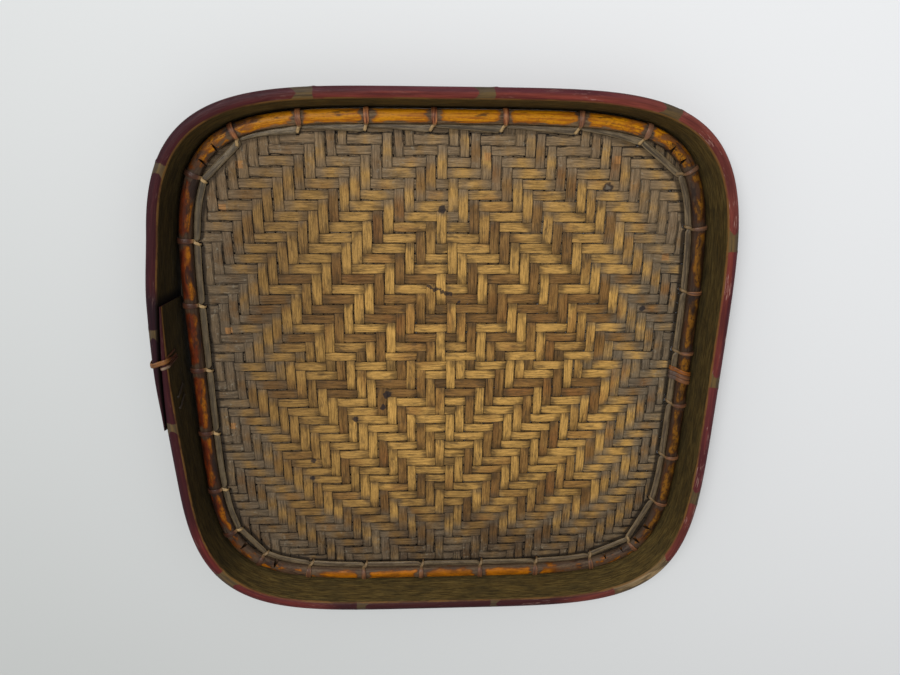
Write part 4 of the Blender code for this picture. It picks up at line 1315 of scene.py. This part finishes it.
def tie_route(index, draw):
    """Up beside the lower ring, over both rings, then a twisted foot over the run to its hole."""
    share = STITCH_SHARES[index]
    _, along, inward = RIM.at(share)
    slant = draw.uniform(-TIE_SLANT, TIE_SLANT)
    slim = SLIM_TIE if abs(share - 0.5) > RIGHT_SIDE else 1.0
    lean = along * 0.9 - inward * 0.45
    twist = lean + Vector((0, 0, 0.55))
    beneath = MAT_LOW.z - 0.0006

    def stop(inset, height, part, width, axis, foot):
        spot = RIM.place(share, inset, height) + along * DRIFTS[index] * part
        return spot, axis, width, foot

    stops = [
        stop(FOOT_INSET - 0.0008, beneath, 1, 0.5, along, 0),
        stop(FOOT_INSET - 0.0030, beneath - 0.0004, 0.5, 0.8, along, 0),
    ]
    stops += [stop(inset, height, 0, 0.95 * slim, along, 0) for inset, height in UNDER_RING]
    for step, (inset, height) in enumerate(OVER_RING):
        late = max(step - 5, 0) / 3
        spot = RIM.place(share, inset, height) + along * slant * (step / 8)
        stops.append((spot, along, (1.06 - 0.5 * late) * slim, late * 0.8))
    return stops + [
        stop(RUN_MIDDLE - 0.0014, OVER_RUN + 0.0004, 0.30, 0.58, twist, 0.6),
        stop(RUN_MIDDLE + 0.0004, OVER_RUN + 0.0002, 0.62, 0.64, twist, 1),
        stop(RUN_MIDDLE + 0.0018, OVER_RUN - 0.0002, 0.92, 0.60, lean, 1),
        stop(FOOT_INSET, MAT_HIGH.z - 0.0004, 1.08, 0.45, lean, 0.7),
        stop(FOOT_INSET, MAT_LOW.z - 0.0004, 1.10, 0.45, along, 0),
    ]


def run_shares(index):
    """Shares at both ends of the run that leads to a stitch."""
    previous = STITCH_SHARES[index - 1] - (1 if index == 0 else 0)
    return previous + RUN_FROM / RIM.length, STITCH_SHARES[index] - RUN_TO / RIM.length


def run_chord(index):
    """Both ends of a run's outer edge, and the direction inward from it."""
    start, end = (RIM.place(share, RUN_EDGE, RUN_HEIGHT) for share in run_shares(index))
    line = (end - start).normalized()
    return start, end, Vector((-line.y, line.x, 0))


def run_shape(index):
    """Along a run: the part of its length, its share of the width, how far it tucks outward."""
    far_side = 0.16 < STITCH_SHARES[index] < 0.37
    first, last = (1.15, 0.55) if far_side else (1.05, 1.0)
    return (
        (0, 0.45 * first, 0.0008), (0.018, 0.76 * first, 0.0004), (0.045, 0.94 * first, 0.0),
        (0.10, first, 0.0), (0.37, (2 * first + last) / 3, 0.0),
        (0.63, (first + 2 * last) / 3, 0.0), (0.90, last, 0.0), (0.955, 0.94 * last, 0.0),
        (0.982, 0.76 * last, 0.0004), (1, 0.45 * last, 0.0008),
    )


def run_route(index):
    """The flat run between two stitches: along the ring, or straight at a corner."""
    start, end, aside = run_chord(index)
    first, last = run_shares(index)
    stops = []
    for part, width, tuck in run_shape(index):
        off = width * RUN_WIDTH / 2 - tuck
        spot, inward = start.lerp(end, part) + aside * off, aside
        if index not in CORNER_RUNS:
            share = first + (last - first) * part
            spot, inward = RIM.place(share, RUN_EDGE + off, RUN_HEIGHT), RIM.at(share)[2]
        stops.append((spot, -inward, width, 0))
    return stops


def wrap_route():
    """The winding over the ring's joint: over ring and run, down a slot, under the lower ring."""
    hole = WRAP_HOLE_INSET
    loop = [(inset, height, 0) for inset, height in OVER_RING[:-1]] + [
        (RUN_MIDDLE, OVER_RUN, 1), (hole - 0.0005, OVER_RUN - 0.0003, 1), (hole, RUN_HEIGHT, 1),
        (hole, MAT_LOW.z - 0.0005, 1), (hole - 0.0005, MAT_LOW.z - 0.001, 0),
    ] + [(inset, height, 0) for inset, height in UNDER_RING[1:]]
    stops = []
    middle = RING_JOINT_SHARE - WRAP_DROP / RIM.length
    for index in range(WRAP_TURNS * len(loop)):
        inset, height, foot = loop[index % len(loop)]
        turn = index / len(loop)
        skew = WRAP_SKEW * (inset - RING_INSET) / RING_WIDTH
        share = middle + ((WRAP_TURNS / 2 - turn) * WRAP_PITCH + skew) / RIM.length
        grey = foot * 0.3 if turn < 1 else max(foot, 0.52)
        stops.append((RIM.place(share, inset, height), RIM.at(share)[1], 1.0, grey))
    return stops


def wall_spot(share, face, height, offset):
    return RIM.place(share, face + lean_at(height) + offset, height)


def scarf_faces(share):
    """Outermost and innermost insets where the hoop's ends lie side by side."""
    return float(lap_insets(share + 1, False)[0]), float(lap_insets(share, True)[1])


def rim_tie_route():
    """Up inside the wall from its hole, over the rim, and down outside."""
    here, hole = RIM_TIE_SHARE, RIM_TIE_SHARE - RIM_TIE_SLANT / RIM.length
    along = RIM.at(here)[1]
    skew = along * RIM_TIE_SKEW
    outer, inner = scarf_faces(here)
    hole_outer, hole_inner = scarf_faces(hole)
    above = RIM_TIE_HOLE + 2 * CANE_THICKNESS
    below = HOOP_HIGH.z - CANE_THICKNESS
    top = HOOP_HIGH.z + CANE_OFFSET
    stops = [
        (wall_spot(hole, hole_inner, RIM_TIE_HOLE, CANE_OFFSET), 0.3, 1),
        (wall_spot(hole, hole_inner, above, CANE_OFFSET), 0.4, 1),
        (wall_spot(here, inner, below - 0.006, CANE_OFFSET) - skew, 0.7, 0.8),
        (wall_spot(here, inner, below, CANE_OFFSET) - skew, 1.0, 0.2),
        (RIM.place(here, inner - 0.001, top - 0.0001) - skew * 0.8, 1.0, 0),
        (RIM.place(here, (inner + outer) / 2, top), 1.0, 0),
        (RIM.place(here, outer + 0.001, top - 0.0001) + skew * 0.8, 1.0, 0),
        (wall_spot(here, outer, below, -CANE_OFFSET) + skew, 1.0, 0),
        (wall_spot(hole, hole_outer, above, -CANE_OFFSET), 1.0, 0),
        (wall_spot(hole, hole_outer, RIM_TIE_HOLE, -CANE_OFFSET), 0.6, 0),
    ]
    return [(spot, -along, width, foot) for spot, width, foot in stops]


def strand_route(offset, top):
    """One of the split strands that run down the wall beside the scarf's tie."""
    along = RIM.at(RIM_TIE_SHARE)[1]
    stops = []
    for part in (0, 0.3, 0.7, 1):
        share = RIM_TIE_SHARE + (offset - STRAND_SLANT * part) / RIM.length
        spot = wall_spot(share, scarf_faces(share)[1], top - STRAND_LENGTH * part, 0.0006)
        stops.append((spot, along, 0.7 + 0.9 * part * (1 - part), 0))
    return stops


def second_turn_route():
    """The short twisted turn over the inner end alone, beside the scarf's tie."""
    share = RIM_TIE_SHARE + SECOND_TURN_AWAY / RIM.length
    along = RIM.at(share)[1]
    inner = scarf_faces(share)[1]
    middle = inner - 0.0030
    rim, top = HOOP_HIGH.z, HOOP_HIGH.z + CANE_OFFSET - 0.0002
    twist = Vector((0, 0, 0.3))
    stops = (
        (RIM.place(share, middle - 0.0030, top - 0.0026), 0, along, 0.7, 0),
        (RIM.place(share, middle - 0.0016, top - 0.0004), 0, along + twist, 0.8, 0.5),
        (RIM.place(share, middle + 0.0008, top - 0.0002), 0.0006, along - twist, 0.8, 1),
        (wall_spot(share, inner, rim - 0.0030, 0.0006), 0.0012, along, 0.75, 0.6),
        (wall_spot(share, inner, rim - 0.0060, 0.0004), 0.0018, along, 0.55, 0),
    )
    return [(spot - along * back, axis, width, foot) for spot, back, axis, width, foot in stops]


def wall_tie_route(share):
    """Round a slanting tie: in through the wall high up, down inside, and out lower down."""
    shift = WALL_TIE_SLANT / RIM.length / 2
    ends = []
    for end, height in ((share + shift, WALL_TIE_HIGH), (share - shift, WALL_TIE_LOW)):
        for face, offset in zip(scarf_faces(end), (-CANE_OFFSET, CANE_OFFSET)):
            ends.append(wall_spot(end, face, height, offset))
    high_out, high_in, low_out, low_in = ends
    spots = [high_out, high_in, high_in.lerp(low_in, 0.3), high_in.lerp(low_in, 0.7)]
    spots += [low_in, low_out, low_out.lerp(high_out, 0.3), low_out.lerp(high_out, 0.7)]
    return [(spot, -RIM.at(share)[1], 1.0, 0) for spot in spots]


def colour_property(name, description, *colour):
    return bpy.props.FloatVectorProperty(
        name=name, description=description, default=shade(*colour), size=4, min=0, max=1,
        subtype="COLOR",
    )


def length_property(name, description, length):
    return bpy.props.FloatProperty(
        name=name, description=description, default=length, min=0, precision=5,
        unit="LENGTH", subtype="DISTANCE",
    )


def light_property(name, description, default):
    return bpy.props.FloatProperty(name=name, description=description, default=default, min=0)


class BasketMatSettings(bpy.types.PropertyGroup):
    strip_width: length_property("Strip width", "Mean width of one woven strip", 0.0082)
    strip_thickness: length_property("Strip thickness", "Thickness of one woven strip", 0.00070)
    strip_crown: length_property("Strip crown", "How far a strip's edges lie low", 0.00024)
    weave_depth: length_property("Weave depth", "How far a strip rises over the others", 0.00058)
    float_rise: length_property("Float rise", "How far the middle of a float swells", 0.00016)
    golden_strip: colour_property("Golden", "Worn golden strips", 190, 147, 78)
    brown_strip: colour_property("Brown", "Darker strips", 127, 92, 49)
    reddish_strip: colour_property("Reddish", "The few reddish strips", 128, 82, 42)
    pink_strip: colour_property("Pink", "Single cells of pinkish strip", 168, 118, 66)
    grey_strip: colour_property("Grey", "Strips near the edge", 107, 95, 78)
    dirt: colour_property("Dirt", "Dirt at the ends of the floats", 78, 60, 37)


class BasketHoopSettings(bpy.types.PropertyGroup):
    joint_rise: length_property("Joint rise", "How far a bamboo joint stands out", 0.0005)
    lacquer_outer: colour_property("Outer lacquer", "Lacquer on the outer half", 84, 37, 42)
    lacquer_inner: colour_property("Inner lacquer", "Lacquer on the inner half", 118, 52, 42)
    lacquer_left: colour_property("Aged lacquer", "Purple lacquer on the left", 42, 14, 22)
    dark_bark: colour_property("Dark wall", "Dark streaks inside the wall", 50, 40, 20)
    pale_bark: colour_property("Pale wall", "Pale streaks inside the wall", 77, 62, 31)


class BasketRingSettings(bpy.types.PropertyGroup):
    golden_skin: colour_property("Golden skin", "Glossy skin of the ring", 196, 128, 10)
    amber_skin: colour_property("Amber skin", "Darker streaks of the skin", 154, 88, 14)
    burnt_skin: colour_property("Burnt skin", "Orange skin on the left", 152, 90, 6)
    ember_skin: colour_property("Ember skin", "Dark red skin on the left", 88, 32, 7)
    bare_skin: colour_property("Bare skin", "Brown skin round a stitch", 122, 100, 72)


class BasketCaneSettings(bpy.types.PropertyGroup):
    dark_tie: colour_property("Dark tie", "Darker streaks of a tie", 90, 42, 22)
    pale_tie: colour_property("Pale tie", "Paler streaks of a tie", 176, 114, 68)
    twisted_foot: colour_property("Twisted foot", "The pale back of the cane", 176, 146, 100)
    dark_run: colour_property("Dark run", "Darker streaks of a run", 64, 55, 40)
    pale_run: colour_property("Pale run", "Paler streaks of a run", 122, 106, 80)


class BasketStageSettings(bpy.types.PropertyGroup):
    floor_colour: colour_property("Floor", "Colour of the plain floor", 244, 246, 249)
    key_power: light_property("Key light", "Power of the soft key light", 47.0)
    sky_strength: light_property("Sky", "Strength of the even light", 0.45)


class BASKET_OT_weave_mat(bpy.types.Operator):
    """Weave the strips of the mat, first those along X and then those across"""
    bl_idname = "basket.weave_mat"
    bl_label = "Weave the mat"

    def execute(self, context):
        ways = (("mat_strips_along", True, SEED), ("mat_strips_across", False, SEED + 1))
        for name, lengthwise, seed in ways:
            strips = weave_strips(lengthwise, context.scene.basket_mat, seed)
            dress(strips, "woven_bamboo")
            finish_piece(strips, name, "woven_mat")
        return {"FINISHED"}


class BASKET_OT_bend_hoop(bpy.types.Operator):
    """Make the hoop straight, scarf its ends and bend it round"""
    bl_idname = "basket.bend_hoop"
    bl_label = "Bend the hoop"

    def execute(self, context):
        bar = straight_bar(hoop_section(), RIM.length + LAP_LENGTH, HOOP_STEPS)
        shape_hoop(bar, context.scene.basket_hoop)
        bend_round(bar, LAP_START, 1 + LAP_LENGTH / RIM.length + 0.01)
        round_off(bar, 38)
        dress(bar, "lacquered_hoop")
        finish_piece(bar, "hoop_wall", "hoop")
        return {"FINISHED"}


class BASKET_OT_bend_rings(bpy.types.Operator):
    """Bend the ring on the mat and the ring under it"""
    bl_idname = "basket.bend_rings"
    bl_label = "Bend the rings"

    def execute(self, context):
        section = half_round(RING_HIGH.z - RING_LOW.z, RING_FLANK, 1)
        ring = bent_ring(RING_INSET, RING_LOW.z, section, RING_JOINT_SHARE, kerfed=True)
        finish_piece(ring, "golden_ring", "inner_ring")
        section = half_round(UNDER_HIGH.z - UNDER_LOW.z, UNDER_FLANK, -1)
        under = bent_ring(UNDER_INSET, UNDER_HIGH.z, section, UNDER_JOINT_SHARE)
        dress(under, "bare_bamboo")
        finish_piece(under, "lower_ring", "under_ring")
        return {"FINISHED"}


class BASKET_OT_lace_stitches(bpy.types.Operator):
    """Lace every stitch round the rings, with the run that leads to it"""
    bl_idname = "basket.lace_stitches"
    bl_label = "Lace the stitches"

    def execute(self, context):
        draw = np.random.default_rng(SEED + 3)
        tie_section, run_section = cane_section(CANE_WIDTH), cane_section(RUN_WIDTH, RUN_THICKNESS)
        for index in range(len(STITCH_SHARES)):
            tie = lay_cane(tie_route(index, draw), tie_section, 64, index, "cane_tie")
            run = lay_cane(run_route(index), run_section, 28, index + 40, "cane_run")
            number = f"{index + 1:02d}"
            finish_piece(join(tie, run), "lacing_" + number, "cane_stitch_" + number)
        return {"FINISHED"}


class BASKET_OT_tie_joints(bpy.types.Operator):
    """Wind the ring's joint and tie the hoop's scarf"""
    bl_idname = "basket.tie_joints"
    bl_label = "Tie the joints"

    def execute(self, context):
        wrap = lay_cane(wrap_route(), cane_section(WRAP_WIDTH), 150, 80, "cane_winding")
        finish_piece(wrap, "joint_winding", "ring_joint_wrap")
        section = cane_section(CANE_WIDTH)
        tie = lay_cane(rim_tie_route(), section, 60, 81, "cane_scarf", closed=True)
        turn = lay_cane(second_turn_route(), cane_section(0.0030), 24, 90, "cane_turn")
        section = cane_section(0.0017, 0.0009)
        strands = [
            lay_cane(strand_route(offset, top), section, 16, 84 + offset * 900, "cane_strand")
            for offset, top in STRANDS
        ]
        finish_piece(join(tie, turn, *strands), "scarf_tie", "rim_tie")
        section = cane_section(0.002)
        for index, share in enumerate(WALL_TIE_SHARES):
            route = wall_tie_route(share)
            small = lay_cane(route, section, 48, 82 + index, "cane_small", closed=True)
            finish_piece(small, f"small_tie_{index + 1}", f"wall_tie_{index + 1}")
        return {"FINISHED"}


class BASKET_OT_set_stage(bpy.types.Operator):
    """Lay the floor, hang the lights and place the camera"""
    bl_idname = "basket.set_stage"
    bl_label = "Set the stage"

    def execute(self, context):
        settings = context.scene.basket_stage
        bpy.ops.mesh.primitive_plane_add(size=FLOOR_SIZE, location=(0, 0, -FLOOR_DROP))
        floor = context.object
        floor.name = floor.data.name = "plain_floor"
        floor.data.materials.append(floor_finish(settings))
        hang_lights(context, settings)
        place_camera(context)
        context.scene.view_settings.view_transform = "Standard"
        deselect()
        return {"FINISHED"}


def hang_lights(context, settings):
    """An even light from all round, which the camera sees as the backdrop, and a soft key light."""
    world = bpy.data.worlds.new("even light")
    context.scene.world = world
    world.use_nodes = True
    sky = Nodes(world.node_tree)
    backdrop = world.node_tree.nodes["Background"].inputs
    sky.feed(backdrop["Color"], BACKDROP_COLOUR)
    strength = sky.camera_ray().rise(0, 1, settings.sky_strength, BACKDROP_STRENGTH)
    sky.feed(backdrop["Strength"], strength)
    bpy.ops.object.light_add(type="AREA", location=KEY_PLACE)
    key = context.object
    key.data.energy = settings.key_power
    key.data.size = KEY_SIZE
    key.rotation_euler = (-key.location).to_track_quat("-Z", "Y").to_euler()


def place_camera(context):
    """Put the camera where the photograph was taken from, as the tray's own axes have it."""
    turn = Vector(CAMERA_TURN)
    back = Matrix.Rotation(turn.length, 3, turn.normalized()).transposed()
    flip = Matrix.Diagonal((1, -1, -1))
    eye = flip @ (-(back @ Vector(CAMERA_SHIFT)))
    right, down, away = (flip @ back @ Vector(axis) for axis in ((1, 0, 0), (0, 1, 0), (0, 0, 1)))
    camera = bpy.data.objects.new("camera", bpy.data.cameras.new("camera"))
    context.scene.collection.objects.link(camera)
    camera.data.sensor_width = SENSOR_WIDTH
    camera.data.lens = FOCAL_PIXELS / PHOTO_WIDTH * SENSOR_WIDTH
    camera.data.clip_start = CAMERA_NEAR
    pose = Matrix((right, -down, -away)).transposed().to_4x4()
    pose.translation = eye + Vector((RIM_SHIFT, 0, HOOP_HIGH.z))
    camera.matrix_world = pose
    context.scene.camera = camera


class BASKET_PT_panel(bpy.types.Panel):
    """Everything the basket is made of"""
    bl_label = "Rice basket"
    bl_idname = "BASKET_PT_panel"
    bl_space_type = "VIEW_3D"
    bl_region_type = "UI"
    bl_category = "Basket"

    def draw(self, context):
        for name, (_, operators) in PARTS.items():
            box = self.layout.box()
            settings = getattr(context.scene, name)
            for label in settings.__annotations__:
                box.prop(settings, label)
            for operator in operators:
                box.operator(operator.bl_idname)


# What the panel shows: each group of settings with the operators that use it.
PARTS = {
    "basket_mat": (BasketMatSettings, [BASKET_OT_weave_mat]),
    "basket_hoop": (BasketHoopSettings, [BASKET_OT_bend_hoop]),
    "basket_rings": (BasketRingSettings, [BASKET_OT_bend_rings]),
    "basket_cane": (BasketCaneSettings, [BASKET_OT_lace_stitches, BASKET_OT_tie_joints]),
    "basket_stage": (BasketStageSettings, [BASKET_OT_set_stage]),
}
CLASSES = [operator for _, operators in PARTS.values() for operator in operators]
CLASSES.append(BASKET_PT_panel)


def register():
    for name, (group, _) in PARTS.items():
        bpy.utils.register_class(group)
        setattr(bpy.types.Scene, name, bpy.props.PointerProperty(type=group))
    for item in CLASSES:
        bpy.utils.register_class(item)


def unregister():
    for item in reversed(CLASSES):
        bpy.utils.unregister_class(item)
    for name, (group, _) in PARTS.items():
        delattr(bpy.types.Scene, name)
        bpy.utils.unregister_class(group)


def main():
    register()
    deselect()
    bpy.ops.basket.set_stage()
    bpy.ops.basket.bend_hoop()
    bpy.ops.basket.bend_rings()
    bpy.ops.basket.lace_stitches()
    bpy.ops.basket.tie_joints()
    bpy.ops.basket.weave_mat()


if __name__ == "__main__":
    main()
